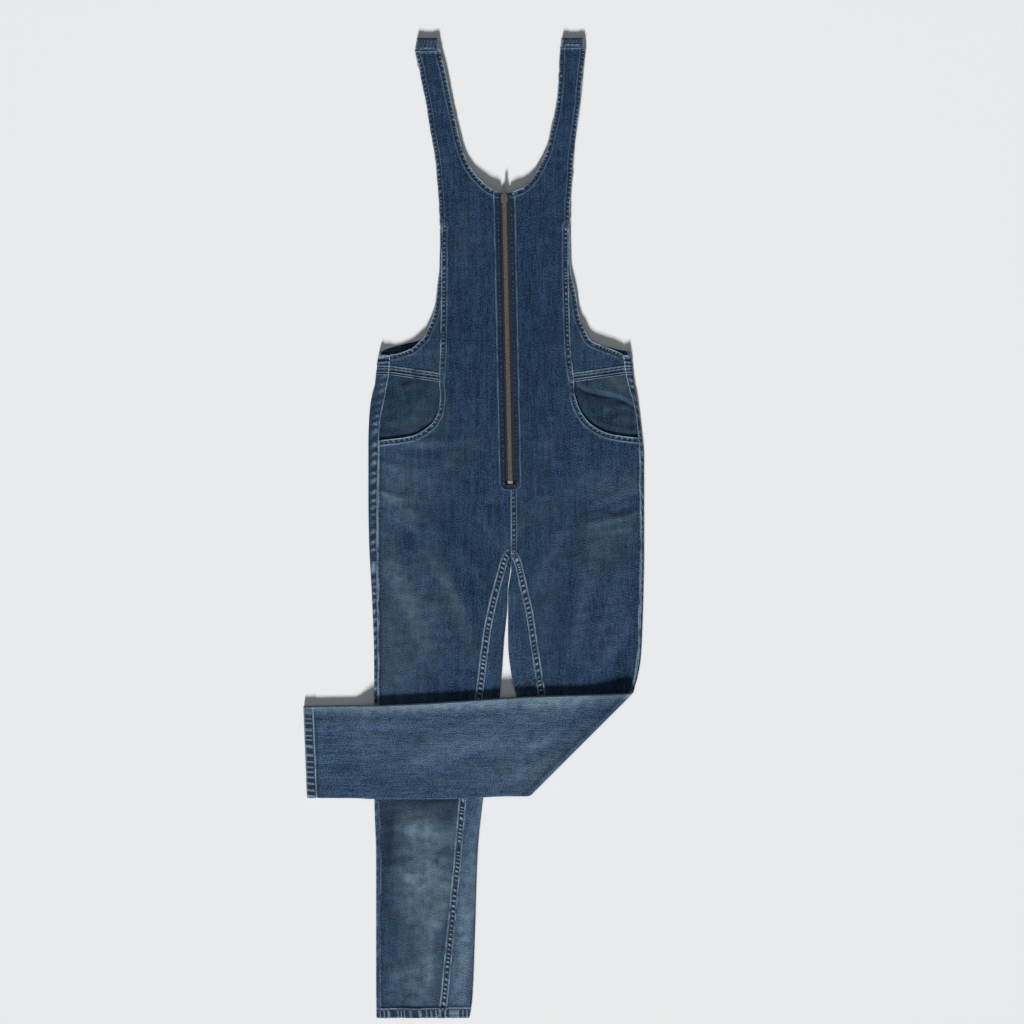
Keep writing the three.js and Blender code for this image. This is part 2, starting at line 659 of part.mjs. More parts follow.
// Back bib: wraps round both sides below the armholes, narrows to two straps that go over the shoulders
function makeBackBib() {
  const wrapRow = (y, from) => {
    const ends = [right, left].map((h) => {
      const points = wrap(h, y).filter((_, k, all) => k >= all.length - from);
      return h.side === "right" ? points : points.toReversed().map((p) => ({ ...p, u: 3 - p.u }));
    });
    const x0 = right.edge(y) + rim + 6;
    const x1 = left.edge(y) - rim - 6;
    const floor = [0, 0.17, 0.34, 0.5, 0.66, 0.83, 1].map((t) => backPoint(mix(x0, x1, t), y, 1.1 + t * 0.8));
    return [...ends[0], ...floor, ...ends[1]];
  };
  const sides = [wrapRow(stripTop.side + gap, 5), wrapRow(981, 5), wrapRow(986, 3)];
  const inset = 0.8; // hidden behind the front's own edge
  const flatRow = (xa, xb, ya, yb, count = 7) => {
    const xs = [xa, xa + hemBand, ...Array.from({ length: count - 2 }, (_, k) =>
      mix(xa + hemBand + 1, xb - hemBand - 1, k / (count - 3))), xb - hemBand, xb];
    return xs.map((x, k) => {
      const t = (x - xa) / (xb - xa);
      const hem = k < 2 || k > xs.length - 3 ? seamRaise : 0;
      return backPoint(x, mix(ya, yb, t), 1 + t, hem);
    });
  };
  const arms = backArmRight.map((r, k) => flatRow(r.x, backArmLeft[k].x, r.y, backArmLeft[k].y)).toReversed();
  const chest = [1040, 1063, 1085, 1107, 1140, 1175, 1196].map((y) =>
    flatRow(right.bib(y) + inset, left.bib(y) - inset, y, y));
  const neckRow = flatRow(right.bib(backNeckBottom) + inset, left.bib(backNeckBottom) - inset,
    backNeckBottom, backNeckBottom, 9);
  const strap = (h, base) => {
    const heights = [1222, 1230, 1240, 1251, 1262, 1285, 1307, 1330, 1351, 1373, 1396, 1420, 1438];
    const across = [0, 0.22, 0.26, 0.74, 0.78, 1];
    const make = (y, place) => {
      const neck = y < 1262 ? mix(h.neck(1262), base.end, ((1262 - y) / (1262 - backNeckBottom)) ** 1.6)
        : h.neck(y) - h.inward * inset;
      const out = h.bib(y) + h.inward * inset;
      const [a, b] = h.side === "right" ? [out, neck] : [neck, out];
      return across.map((t) => {
        const hem = t < 0.25 || t > 0.75 ? seamRaise : 0;
        return place(mix(a, b, t), y, mix(base.u0, base.u1, t), hem);
      });
    };
    const flat = heights.map((y) => make(y, backPoint));
    const turn = bibTop / 2;
    const centre = shoulder - turn;
    const over = [-90, -45, 0, 45, 90].map((angle) => make(centre, (x, y, u, hem) => {
      const c = Math.cos(angle * radians);
      const s = Math.sin(angle * radians);
      const inside = turn - cloth;
      const lift = angle > 0 ? hem * s : 0;
      return point(u, [x, y + (turn + lift) * c, turn + (turn + lift) * s], [x, y + inside * c, turn + inside * s]);
    }));
    const front = make(shoulderSeam[h.side], (x, y, u, hem) =>
      point(u, [x, y, bibTop + hem], [x, y, bibTop - cloth]));
    return [base.row, ...flat, ...over, front];
  };
  const middle = 3;
  const rightBase = neckRow.slice(0, neckRow.length - middle - 2);
  const leftBase = neckRow.slice(middle + 2);
  const baseOf = (row, endPoint) => ({ row, u0: row[0].u, u1: row.at(-1).u, end: endPoint.outer[0] });
  return wall(
    [...sides, ...arms, ...chest, neckRow],
    strap(right, baseOf(rightBase, rightBase.at(-1))),
    strap(left, baseOf(leftBase, leftBase[0])),
  );
}

// Strip across the back at the waist, from side seam to side seam
function makeBackWaistStrip() {
  const rows = [stripTop.side, stripLow.side].map((y) => {
    const ends = [wrap(right, y, seamRaise), wrap(left, y, seamRaise).toReversed()];
    const x0 = right.edge(y) + rim + 6;
    const x1 = left.edge(y) - rim - 6;
    const floor = [0, 0.25, 0.5, 0.75, 1].map((t) => backPoint(mix(x0, x1, t), y, 1.1 + t * 0.8));
    return [...ends[0], ...floor, ...ends[1].map((p) => ({ ...p, u: 3 - p.u }))];
  });
  return wall(rows);
}

// Zip
const tape = { thick: 0.6, inner: 3.9, outer: 17, bottom: 770, top: neckBottom - 1 };
const teeth = { thick: 2.2, half: 3.6, bottom: 795.4, top: 1212.2 };
const tapeLevel = zipTop - cloth - gap - tape.thick / 2;
const slider = { y: 1213, long: 12, wide: 9.6, foot: 8.4, plate: 1.2, post: 2.6, wall: 0.8 };
const bail = { wide: 1.6, long: 8.2, post: 1.2, opening: 1.6, bar: 1 };
const pull = { long: 19, wide: 5.4, thick: 1, window: 4, crossbar: 1, tip: 3.4 };
const sliderTop = tapeLevel + teeth.thick / 2 + gap + slider.plate;
const pullAxis = sliderTop + bail.opening / 2;

function makeTape(h) {
  const rows = [tape.top, 1000, zipEnd, tape.bottom].map((y) =>
    [tape.inner, tape.outer].map((offset, u) => {
      const x = zipAxis(y) - h.inward * offset;
      const top = y < zipEnd ? frontTop(h, x, y) - cloth - gap : tapeLevel + tape.thick / 2;
      return point(u, [x, y, top], [x, y, top - tape.thick]);
    }));
  return wall(rows);
}

function makeTeeth(h) {
  const rows = [teeth.top, teeth.bottom].map((y) =>
    [gap / 2, teeth.half].map((offset, u) => {
      const x = zipAxis(y) - h.inward * offset;
      return point(u, [x, y, tapeLevel + teeth.thick / 2], [x, y, tapeLevel - teeth.thick / 2]);
    }));
  return wall(rows);
}

function extrudeUp(shape, low, high) {
  const geometry = new THREE.ExtrudeGeometry(shape, { depth: high - low, bevelEnabled: false, curveSegments: 6 });
  geometry.translate(0, 0, low);
  return geometry;
}

// A shield seen from above, wide at the top end
function shield(wide, foot, long) {
  const shape = new THREE.Shape();
  shape.moveTo(-foot / 2, -long / 2);
  shape.lineTo(foot / 2, -long / 2);
  shape.quadraticCurveTo(wide / 2, -long / 6, wide / 2, long / 6);
  shape.quadraticCurveTo(wide / 2, long / 2, wide / 4, long / 2);
  shape.lineTo(-wide / 4, long / 2);
  shape.quadraticCurveTo(-wide / 2, long / 2, -wide / 2, long / 6);
  shape.quadraticCurveTo(-wide / 2, -long / 6, -foot / 2, -long / 2);
  return shape;
}

const box = (wide, long, high, x, y, z) => new THREE.BoxGeometry(wide, long, high).translate(x, y, z);

const wasm = await Module();
wasm.setup();

// Joins closed shapes that overlap each other into one solid
function join(...geometries) {
  const solids = geometries.map((g) => {
    g.deleteAttribute("normal");
    g.deleteAttribute("uv");
    const merged = mergeVertices(g, 1e-4);
    return new wasm.Manifold(new wasm.Mesh({
      numProp: 3,
      vertProperties: merged.attributes.position.array,
      triVerts: new Uint32Array(merged.index.array),
    }));
  });
  const mesh = solids.reduce((a, b) => a.add(b)).getMesh();
  const joined = new THREE.BufferGeometry();
  joined.setAttribute("position", new THREE.BufferAttribute(mesh.vertProperties, 3));
  joined.setIndex(new THREE.BufferAttribute(mesh.triVerts, 1));
  joined.computeVertexNormals();
  return joined;
}

// Slider: two plates joined by a post at the top end, side walls that hold the teeth, and the bail
function makeSlider() {
  const upper = sliderTop - slider.plate;
  const lower = tapeLevel - teeth.thick / 2 - gap;
  const outline = () => shield(slider.wide, slider.foot, slider.long);
  const post = new THREE.Shape();
  post.moveTo(0, slider.long / 2 - slider.post * 1.8);
  post.lineTo(slider.post / 2, slider.long / 2 - 1);
  post.lineTo(0, slider.long / 2);
  post.lineTo(-slider.post / 2, slider.long / 2 - 1);
  post.closePath();
  const sideWalls = [-1, 1].flatMap((side) => {
    const x = side * (slider.foot / 2 + 0.1);
    const upperWall = upper - (tapeLevel + tape.thick / 2 + gap);
    const lowerWall = tapeLevel - tape.thick / 2 - gap - lower;
    const long = slider.long * 0.62;
    return [
      box(slider.wall, long, upperWall + 0.4, x, -1.4, upper - upperWall / 2 + 0.2),
      box(slider.wall, long, lowerWall + 0.4, x, -1.4, lower + lowerWall / 2 - 0.2),
    ];
  });
  const barHeight = sliderTop + bail.opening;
  const posts = [-1, 1].map((side) =>
    box(bail.wide, bail.post, bail.opening + bail.bar + 0.4, 0, (side * (bail.long - bail.post)) / 2,
      sliderTop + (bail.opening + bail.bar - 0.4) / 2));
  return join(
    extrudeUp(outline(), upper, sliderTop),
    extrudeUp(outline(), lower - slider.plate, lower),
    extrudeUp(post, lower - 0.3, upper + 0.3),
    ...sideWalls,
    ...posts,
    box(bail.wide, bail.long, bail.bar, 0, 0, barHeight + bail.bar / 2),
  );
}

// Pull tab, flipped up over the neckline: a frame round the bail, then a tapered tongue with a round end
function makePull() {
  const half = pull.wide / 2;
  const start = -pull.crossbar / 2;
  const shape = new THREE.Shape();
  shape.moveTo(-half, start);
  shape.lineTo(half, start);
  shape.lineTo(half, pull.window + 2);
  shape.quadraticCurveTo(pull.tip / 2, pull.window + 4, pull.tip / 2, pull.long - 5);
  shape.quadraticCurveTo(half, pull.long, 0, pull.long);
  shape.quadraticCurveTo(-half, pull.long, -pull.tip / 2, pull.long - 5);
  shape.quadraticCurveTo(-pull.tip / 2, pull.window + 4, -half, pull.window + 2);
  shape.closePath();
  const window = new THREE.Path();
  const slot = bail.wide / 2 + 0.4;
  window.moveTo(-slot, pull.crossbar / 2);
  window.lineTo(-slot, pull.window + pull.crossbar / 2);
  window.lineTo(slot, pull.window + pull.crossbar / 2);
  window.lineTo(slot, pull.crossbar / 2);
  window.closePath();
  shape.holes.push(window);
  return extrudeUp(shape, -pull.thick / 2, pull.thick / 2);
}

const denim = (colour) => new THREE.MeshStandardMaterial({ color: colour, roughness: 0.9, metalness: 0 });
const denimFront = denim(0x35506e);
const denimBack = denim(0x3d5a7a);
const denimFacing = denim(0x2f4866);
const tapeCloth = denim(0x231f33);
const brass = new THREE.MeshStandardMaterial({ color: 0x8a7a62, roughness: 0.4, metalness: 0.9 });
const nickel = new THREE.MeshStandardMaterial({ color: 0x9a9a98, roughness: 0.35, metalness: 0.95 });

const garment = new THREE.Group();
function add(name, geometry, material) {
  const mesh = new THREE.Mesh(geometry, material);
  mesh.name = name;
  garment.add(mesh);
  return mesh;
}

for (const h of [right, left]) {
  const legRows = h.side === "right" ? rightLeg : leftLeg;
  add("front_" + h.side, makeFront(h, legRows), denimFront);
  add("side_front_" + h.side, makeSideFront(h), denimFront);
  add("waist_strip_" + h.side, makeWaistStrip(h), denimFront);
  add("pocket_back_" + h.side, makePocketBack(h), denimFacing);
  add("back_leg_" + h.side, makeBackLeg(h, legRows), denimBack);
  add("zip_tape_" + h.side, makeTape(h), tapeCloth);
  add("zip_teeth_" + h.side, makeTeeth(h), brass);
  const topStop = add("zip_top_stop_" + h.side, new THREE.BoxGeometry(1.8, 1.6, 2.4), brass);
  topStop.position.set(zipAxis(1220) - h.inward * 2.6, neckBottom - 1.4, tapeLevel);
}
add("back_bib", makeBackBib(), denimBack);
add("back_waist_strip", makeBackWaistStrip(), denimBack);
const bottomStop = add("zip_bottom_stop", new THREE.BoxGeometry(7.4, 4.6, 2.6), nickel);
bottomStop.position.set(zipAxis(792), teeth.bottom - gap - 2.3, tapeLevel);
const sliderMesh = add("zip_slider", makeSlider(), nickel);
sliderMesh.position.set(zipAxis(slider.y), slider.y, 0);
const pullMesh = add("zip_pull", makePull(), nickel);
pullMesh.position.set(zipAxis(slider.y), slider.y, pullAxis);

// The frame's origin is the middle of the floor under the whole garment
const bounds = new THREE.Box3().setFromObject(garment, true);
const middle = bounds.getCenter(new THREE.Vector3());
garment.position.set(-middle.x, -middle.y, -bounds.min.z);

const dungarees = new THREE.Group();
dungarees.add(garment);
export default dungarees;
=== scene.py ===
# Denim dungarees with a front zip, laid flat on their back, one lower leg folded across the other.
# Tables and heights are millimetres from the crotch's centre line and the hem; meshes are metres.
import math
from types import SimpleNamespace

import bpy
import numpy as np
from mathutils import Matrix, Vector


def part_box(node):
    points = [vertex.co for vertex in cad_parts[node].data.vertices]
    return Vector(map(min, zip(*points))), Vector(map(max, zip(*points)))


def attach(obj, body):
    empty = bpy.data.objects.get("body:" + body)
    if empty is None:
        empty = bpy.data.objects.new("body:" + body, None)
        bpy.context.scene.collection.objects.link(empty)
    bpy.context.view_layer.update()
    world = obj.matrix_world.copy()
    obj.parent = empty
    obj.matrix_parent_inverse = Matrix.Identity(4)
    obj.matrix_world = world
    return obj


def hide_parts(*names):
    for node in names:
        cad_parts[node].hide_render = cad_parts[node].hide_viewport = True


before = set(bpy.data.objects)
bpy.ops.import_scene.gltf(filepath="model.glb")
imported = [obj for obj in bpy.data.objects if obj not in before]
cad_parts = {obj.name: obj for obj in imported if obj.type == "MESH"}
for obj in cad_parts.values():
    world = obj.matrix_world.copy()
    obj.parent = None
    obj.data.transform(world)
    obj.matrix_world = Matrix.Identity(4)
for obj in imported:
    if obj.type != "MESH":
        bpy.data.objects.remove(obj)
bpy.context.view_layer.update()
mm = 0.001


def clamp(v):
    return np.clip(v, 0.0, 1.0)


def ease(v):
    v = clamp(v)
    return v * v * (3 - 2 * v)


def mix(a, b, t):
    return a + (b - a) * t


def bell(v):
    return np.exp(-v * v)


def stacked(*parts):
    return np.stack(np.broadcast_arrays(*parts), axis=-1)


# cloth as it lies, the same values as the solids
lie = dict(
    cloth=1.2, rim=2.5, tubeTop=5.0, bibTop=3.6, zipTop=6.0, gap=0.3, shell=1.1, shoulder=1450, neckBottom=1222,
    neckCurve=1262, backNeckBottom=1208, taperLow=995, taperHigh=1050, princessTop=1172, pocketDepth=778,
    zipEnd=783, zipMouth=789.5, zipOpening=7, zipX=-2.2, zipHigh=1203, zipLean=0.021, sliderY=1213, crotchX=7,
    crotchY=683, pocketTuck=938, fadeLow=330, fadeLong=90)
shoulderSeam = dict(right=1434, left=1439)
stripTop = dict(side=966, centre=955)
stripLow = dict(side=952, centre=941.5)
s = SimpleNamespace(**lie)
spots = "x y angle length width height"
markNames = ("wear", "shade", "fade", "khaki", "tick", "phase")


def table(names, *rows):
    columns = np.array(sorted(rows), float).T
    return dict(zip(names.split(), columns))


sideRight = table(
    "y edge seam", (988, -186, -171), (959, -192, -172.5), (929, -195.5, -177.5), (915, -200, -180),
    (885, -203, -186), (855, -204, -188), (767, -204, -190), (707, -203, -190.5), (619, -198.5, -190),
    (530, -195.5, -189), (323, -195, -189), (234, -192.5, -187), (56, -192.5, -187), (0, -192, -186.5))
sideLeft = table(
    "y edge seam", (988, 182, 172.5), (959, 187, 176), (929, 191, 183), (915, 194, 187.5), (885, 198, 193),
    (855, 201.5, 196), (826, 204, 198.5), (678, 204, 200), (619, 203, 199), (559, 201, 197), (530, 199.5, 195.5),
    (500, 194, 190), (485, 190, 186), (327, 184, 180), (186, 175, 171), (102, 171, 167), (-8, 169, 165))
innerRight = table(
    "y edge seam", (683, 6.8, 6.8), (676, 6.7, 3), (662, 6.3, -1), (632, 2, -9), (599, 1, -17), (559, -3, -24),
    (479, -9, -34), (323, -34, -58), (234, -43, -66), (115, -47, -77), (18, -51, -87), (0, -54, -89))
innerLeft = table(
    "y edge seam", (683, 7.2, 7.2), (676, 7.3, 11), (662, 7.7, 15), (632, 3.2, 21.5), (599, 3, 29), (559, 3, 35),
    (500, 9, 44), (479, 15, 47), (327, 37, 62), (186, 32, 61), (-4, 32.6, 68))
bibRight = table(
    "y out neck", (1450, -132, -100), (1436, -135, -98), (1396, -127, -88), (1351, -118, -79), (1307, -111, -70),
    (1285, -107, -64), (1262, -104, -54), (1240, -102, -37), (1228, -101, -24), (1222, -100.5, -12),
    (1196, -99, 0), (1151, -98, 0), (1107, -99, 0), (1085, -102, 0), (1063, -104, 0), (1040, -108, 0),
    (1018, -117, 0), (1009, -121, 0), (1001, -129, 0), (992, -138, 0), (987, -149, 0), (983.5, -159, 0),
    (981.5, -170.5, 0))
bibLeft = table(
    "y out neck", (1450, 115, 83), (1436, 117.5, 80), (1396, 114, 78), (1351, 110, 74), (1307, 104, 65),
    (1285, 101, 60), (1262, 99, 50), (1240, 98, 36), (1228, 97, 23), (1222, 96.5, 10), (1196, 95, 0),
    (1151, 95, 0), (1107, 96, 0), (1085, 101, 0), (1063, 105, 0), (1040, 108, 0), (1018, 117, 0), (1003, 125, 0),
    (994, 145, 0), (987, 164, 0), (983, 172.5, 0))
# princess seam, then the pocket's curve
princessRight = table(
    "y x", (1172, -95.8), (1107, -96), (983, -97.5), (938, -99), (922, -97.5), (899, -100), (882, -108),
    (872, -119), (863, -135), (858.5, -155), (856.5, -174), (855, -187.5))
princessLeft = table(
    "y x", (1172, 92.8), (1107, 93), (986, 96), (941, 101.5), (926, 102), (908, 106), (894, 113), (882, 122),
    (872, 136), (865, 153), (861, 175), (859, 195))
# the back's armhole edge: place along it, then x and y on either side
backArm = table(
    "t rightX rightY leftX leftY", (0, -116, 1018, 116, 1018), (1, -120, 1010, 121, 1008),
    (2, -131, 1003, 130, 1001), (3, -143, 1000, 142, 996), (4, -155, 997, 155, 993), (5, -170, 993, 166, 990),
    (6, -181, 989, 176, 988))


# smooth curve through one column of a table, with no overshoot
def curve(rows, column, by="y"):
    ys, vs = rows[by], rows[column]
    slope = np.diff(vs) / np.diff(ys)
    product, total = slope[:-1] * slope[1:], slope[:-1] + slope[1:]
    inner = np.where(product <= 0, 0, 2 * product / np.where(product <= 0, 1, total))
    tangent = np.concatenate([slope[:1], inner, slope[-1:]])

    def at(y):
        y = np.clip(y, ys[0], ys[-1])
        i = np.clip(np.searchsorted(ys, y, side="right") - 1, 0, len(ys) - 2)
        span = ys[i + 1] - ys[i]
        t = (y - ys[i]) / span
        start = (1 + 2 * t) * (1 - t) ** 2 * vs[i] + t * (1 - t) ** 2 * span * tangent[i]
        return start + t * t * (3 - 2 * t) * vs[i + 1] - t * t * (1 - t) * span * tangent[i + 1]

    return at


def half(side, inward, seed, body, inner, bib, princess):
    return SimpleNamespace(
        side=side, inward=inward, seed=seed, halfGap=inward * s.gap / 2, edge=curve(body, "edge"),
        seam=curve(body, "seam"), innerEdge=curve(inner, "edge"), inseam=curve(inner, "seam"),
        bib=curve(bib, "out"), neck=curve(bib, "neck"), princess=curve(princess, "x"), pocketEnd=princess["y"][0])


right = half("right", 1, 10, sideRight, innerRight, bibRight, princessRight)
left = half("left", -1, 20, sideLeft, innerLeft, bibLeft, princessLeft)


def zipAxis(y):
    return s.zipX + (s.zipHigh - y) * s.zipLean


sliderMiddle = np.mean(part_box("zip_slider"), axis=0) / mm
shift = np.array([sliderMiddle[0] - zipAxis(s.sliderY), sliderMiddle[1] - s.sliderY, 0.0])

# folds of the solids: a ridge at x, y along the angle, fading at its ends
frontFolds = table(
    spots, (-150, 640, -65, 75, 14, 1.1), (-105, 610, -70, 90, 15, 1.2), (-60, 720, -60, 60, 13, -0.8),
    (-155, 760, -35, 40, 9, 1.1), (-165, 815, -15, 30, 7, 0.9), (150, 735, 12, 48, 9, 1.2),
    (165, 775, 20, 40, 8, 0.9), (120, 640, 80, 70, 14, 1.0), (165, 560, 60, 45, 13, 1.3),
    (80, 600, 100, 60, 14, -0.8), (140, 925, -35, 35, 8, -1.0), (-140, 290, 10, 45, 14, 0.6),
    (-120, 262, -12, 40, 12, -0.6), (-150, 225, 20, 38, 13, 0.6), (-110, 110, 80, 80, 13, 0.9),
    (-160, 70, 15, 35, 9, 0.8))
backFolds = table(
    spots, (120, 240, 88, 110, 14, 1.3), (75, 300, 85, 70, 12, 1.1), (145, 120, 92, 70, 12, 1.0),
    (90, 90, 80, 60, 13, -0.9), (155, 330, 70, 50, 11, 1.0))
# finer creases, placed one by one
frontCreases = table(
    spots, (-168, 752, -38, 30, 4, 0.5), (-160, 736, -30, 26, 3.5, 0.4), (-172, 775, -20, 22, 4, 0.4),
    (-120, 700, -62, 60, 7, 0.5), (-80, 640, -66, 70, 7, 0.5), (-140, 590, -68, 60, 6, 0.45),
    (-45, 660, -58, 40, 6, 0.4), (-30, 730, -50, 35, 6, 0.35), (20, 720, 50, 30, 6, 0.35),
    (172, 742, 15, 34, 4, 0.6), (160, 722, 8, 30, 3.5, 0.45), (175, 760, 22, 26, 4, 0.45),
    (140, 705, 30, 40, 6, 0.4), (60, 670, 65, 50, 7, 0.4), (150, 600, 70, 50, 7, 0.45),
    (100, 560, 75, 50, 8, 0.4), (-120, 318, 4, 50, 6, 0.4), (-130, 300, 6, 52, 6, -0.3),
    (-110, 278, -4, 36, 6, 0.3), (-150, 250, 12, 30, 6, 0.3), (-100, 240, -10, 30, 5, 0.35),
    (-90, 180, 75, 60, 7, 0.4), (-150, 150, 85, 60, 7, 0.35), (-120, 50, 70, 40, 6, 0.35),
    (-60, 1130, 88, 60, 9, 0.3), (50, 1120, 92, 70, 9, 0.3), (-50, 1000, 80, 60, 9, 0.25),
    (55, 960, 100, 60, 8, 0.3), (-60, 880, 70, 50, 8, 0.3), (60, 860, 110, 50, 8, 0.3),
    (150, 880, -10, 30, 5, 0.3), (-150, 905, 10, 25, 5, 0.3))
backCreases = table(
    spots, (100, 200, 80, 60, 5, 0.4), (130, 180, 95, 60, 5, -0.3), (60, 220, 88, 70, 5, 0.35),
    (150, 260, 75, 50, 5, 0.4), (110, 330, 60, 40, 6, 0.4), (90, 150, 92, 60, 5, 0.35),
    (140, 60, 85, 40, 5, 0.35), (70, 40, 95, 40, 5, 0.3), (60, 380, 50, 40, 6, 0.4), (120, 400, 48, 30, 5, 0.35))
knee = dict(creaseLine=-293, foldHeight=7.5, restGap=1.1, floorX=-197, floorSlope=30, sagX=2, sagWidth=20,
            sagDepth=1.6, sagTop=480, sagLow=330, underTop=494, underLow=318)
k = SimpleNamespace(**knee)
foldReach = math.pi * (k.foldHeight - s.rim)
root2 = math.sqrt(2)


def pastCrease(x, y):
    return x - y - k.creaseLine


def foldSum(folds, x, y):
    total = np.zeros_like(x, dtype=float)
    for fx, fy, angle, length, width, height in zip(*folds.values()):
        c, sn = math.cos(math.radians(angle)), math.sin(math.radians(angle))
        along = ((x - fx) * c + (y - fy) * sn) / length
        across = ((y - fy) * c - (x - fx) * sn) / width
        total += height * np.exp(-along * along - across * across)
    return total


# slow unevenness: a few sines whose directions, lengths and phases are drawn once, by a seed
def unevenness(seed, count, shortest, longest):
    rng = np.random.default_rng(seed)
    lengths = np.exp(rng.uniform(math.log(shortest), math.log(longest), count))
    angles, phases = rng.uniform(0, math.pi, count), rng.uniform(0, 2 * math.pi, count)

    def at(x, y):
        total = np.zeros_like(x, dtype=float)
        for length, angle, phase in zip(lengths, angles, phases):
            total += np.sin(2 * math.pi * (x * math.cos(angle) + y * math.sin(angle)) / length + phase)
        return total / math.sqrt(count)

    return at


wave = unevenness(5, 14, 45, 160)
ruffle = unevenness(6, 18, 14, 40)


def wobble(t, seed):
    values = np.random.default_rng(seed).normal(size=600)
    return np.interp(np.mod(t, 599), np.arange(600), values)


def insideEdge(h, x, y):
    outer = (x - h.edge(y)) * h.inward
    inner = np.where(y < s.crotchY, (h.innerEdge(y) - x) * h.inward, 1e6)
    return np.minimum(outer, inner)


def frontTop(h, x, y):
    base = mix(s.tubeTop, s.bibTop, ease((y - s.taperLow) / (s.taperHigh - s.taperLow)))
    besideZip = 1 - ease((np.abs(x - zipAxis(y)) - 18) / 34)
    zipLift = (s.zipTop - base) * besideZip * ease((y - s.zipEnd + 30) / 30)
    folded = ease((pastCrease(x, y) + 60) / 60) if h is left else 0
    free = (1 - folded) * (1 - ease((k.underTop - y) / 6) * ease((y - k.underLow) / 6))
    depth = insideEdge(h, x, y)
    large = foldSum(frontFolds, x, y) * ease((depth - 4) / 20) * clamp(1 - besideZip)
    fine = 1.5 * foldSum(frontCreases, x, y) + 0.24 * wave(x, y) + 0.13 * ruffle(x, y)
    return base + zipLift + (large + fine * ease((depth - 2) / 8) * (1 - 0.7 * besideZip)) * free


# point of the front face, which curves down where it comes to a rolled edge
def frontPlace(h, x, y, lift=0.0):
    x, y = np.broadcast_arrays(np.asarray(x, float), np.asarray(y, float))
    depth = insideEdge(h, x, y)
    atInner = (y < s.crotchY) & ((h.innerEdge(y) - x) * h.inward < (x - h.edge(y)) * h.inward)
    rolled = (y < 980) & (depth < s.rim)
    away = np.where(atInner, h.inward, -h.inward)
    angle = np.arccos(1 - np.clip(depth, 0, s.rim) / s.rim)
    centre = np.where(atInner, h.innerEdge(y), h.edge(y)) - away * s.rim
    px = np.where(rolled, centre + (s.rim + lift) * np.cos(angle) * away, x)
    pz = np.where(rolled, s.rim + (s.rim + lift) * np.sin(angle), frontTop(h, x, y) + lift)
    return stacked(px, y, pz)


# point on a rolled edge: angle 90 is its top and -90 its underside
def rollPlace(h, atInner, y, angle, lift=0.0):
    away = h.inward if atInner else -h.inward
    centre = (h.innerEdge(y) if atInner else h.edge(y)) - away * s.rim
    c, sn = np.cos(np.radians(angle)) * away, np.sin(np.radians(angle))
    return stacked(centre + (s.rim + lift) * c, y, s.rim + (s.rim + lift) * sn)


def backDown(x, y):
    past, depth = pastCrease(x, y), insideEdge(left, x, y)
    fine = 1.4 * foldSum(backCreases, x, y) + 0.22 * wave(y, x) + 0.13 * ruffle(y, x) + 0.1
    down = foldSum(backFolds, x, y) * ease(depth / 20 - 0.25) + fine * ease((depth - 3) / 8)
    return np.where((x > 20) & (past > 0), down * ease((past - 20) / 40), 0)


# the knee fold: straight above the crease, rolled round it, then lying on what is below
def foldKnee(p):
    x, y, z = p[..., 0], p[..., 1], p[..., 2]
    reach = pastCrease(x, y) / root2 + k.foldHeight
    along = (x + y) / root2
    radius = k.foldHeight - z
    turn = np.clip(reach, 0, foldReach) / (k.foldHeight - s.rim)
    past = -k.foldHeight + radius * np.sin(turn) - np.maximum(0, reach - foldReach)
    height = k.foldHeight - radius * np.cos(turn)
    newX = (root2 * (along + past) + k.creaseLine) / 2
    newY = (root2 * (along - past) - k.creaseLine) / 2
    onLeg = 2 * k.foldHeight - 2 * s.tubeTop - k.restGap
    toFloor = (s.tubeTop + k.restGap) * ease((k.floorX - newX) / k.floorSlope)
    dip = k.sagDepth * bell((newX - k.sagX) / k.sagWidth) * ease((k.sagTop - newY) / (k.sagTop - k.sagLow))
    settled = ease((reach - 0.7 * foldReach) / 40)
    bent = stacked(newX, newY, height - settled * (onLeg + toFloor + dip))
    return np.where((reach > 0)[..., None], bent, p)


# distance to a line of points (positive on its left) and how far along it
def nearLine(x, y, line, reachOut=40.0):
    line = np.asarray(line, float)
    step = np.diff(line, axis=0)
    length = np.hypot(step[:, 0], step[:, 1])
    start = np.concatenate([[0], np.cumsum(length)])
    flatX, flatY = x.ravel(), y.ravel()
    distance, along = np.full(flatX.size, 1e3), np.zeros(flatX.size)
    lo, hi = line.min(0) - reachOut, line.max(0) + reachOut
    chosen = np.nonzero((flatX > lo[0]) & (flatX < hi[0]) & (flatY > lo[1]) & (flatY < hi[1]))[0]
    for part in np.array_split(chosen, max(1, len(chosen) // 4000)):
        if not len(part):
            continue
        dx = flatX[part, None] - line[None, :-1, 0]
        dy = flatY[part, None] - line[None, :-1, 1]
        t = clamp((dx * step[:, 0] + dy * step[:, 1]) / (length ** 2 + 1e-9))
        gapX, gapY = dx - t * step[:, 0], dy - t * step[:, 1]
        squared = gapX ** 2 + gapY ** 2
        i = squared.argmin(1)
        row = np.arange(len(part))
        sign = np.sign(step[i, 0] * dy[row, i] - step[i, 1] * dx[row, i])
        distance[part] = np.sqrt(squared[row, i]) * np.where(sign == 0, 1, sign)
        along[part] = start[i] + t[row, i] * length[i]
    return distance.reshape(x.shape), along.reshape(x.shape)
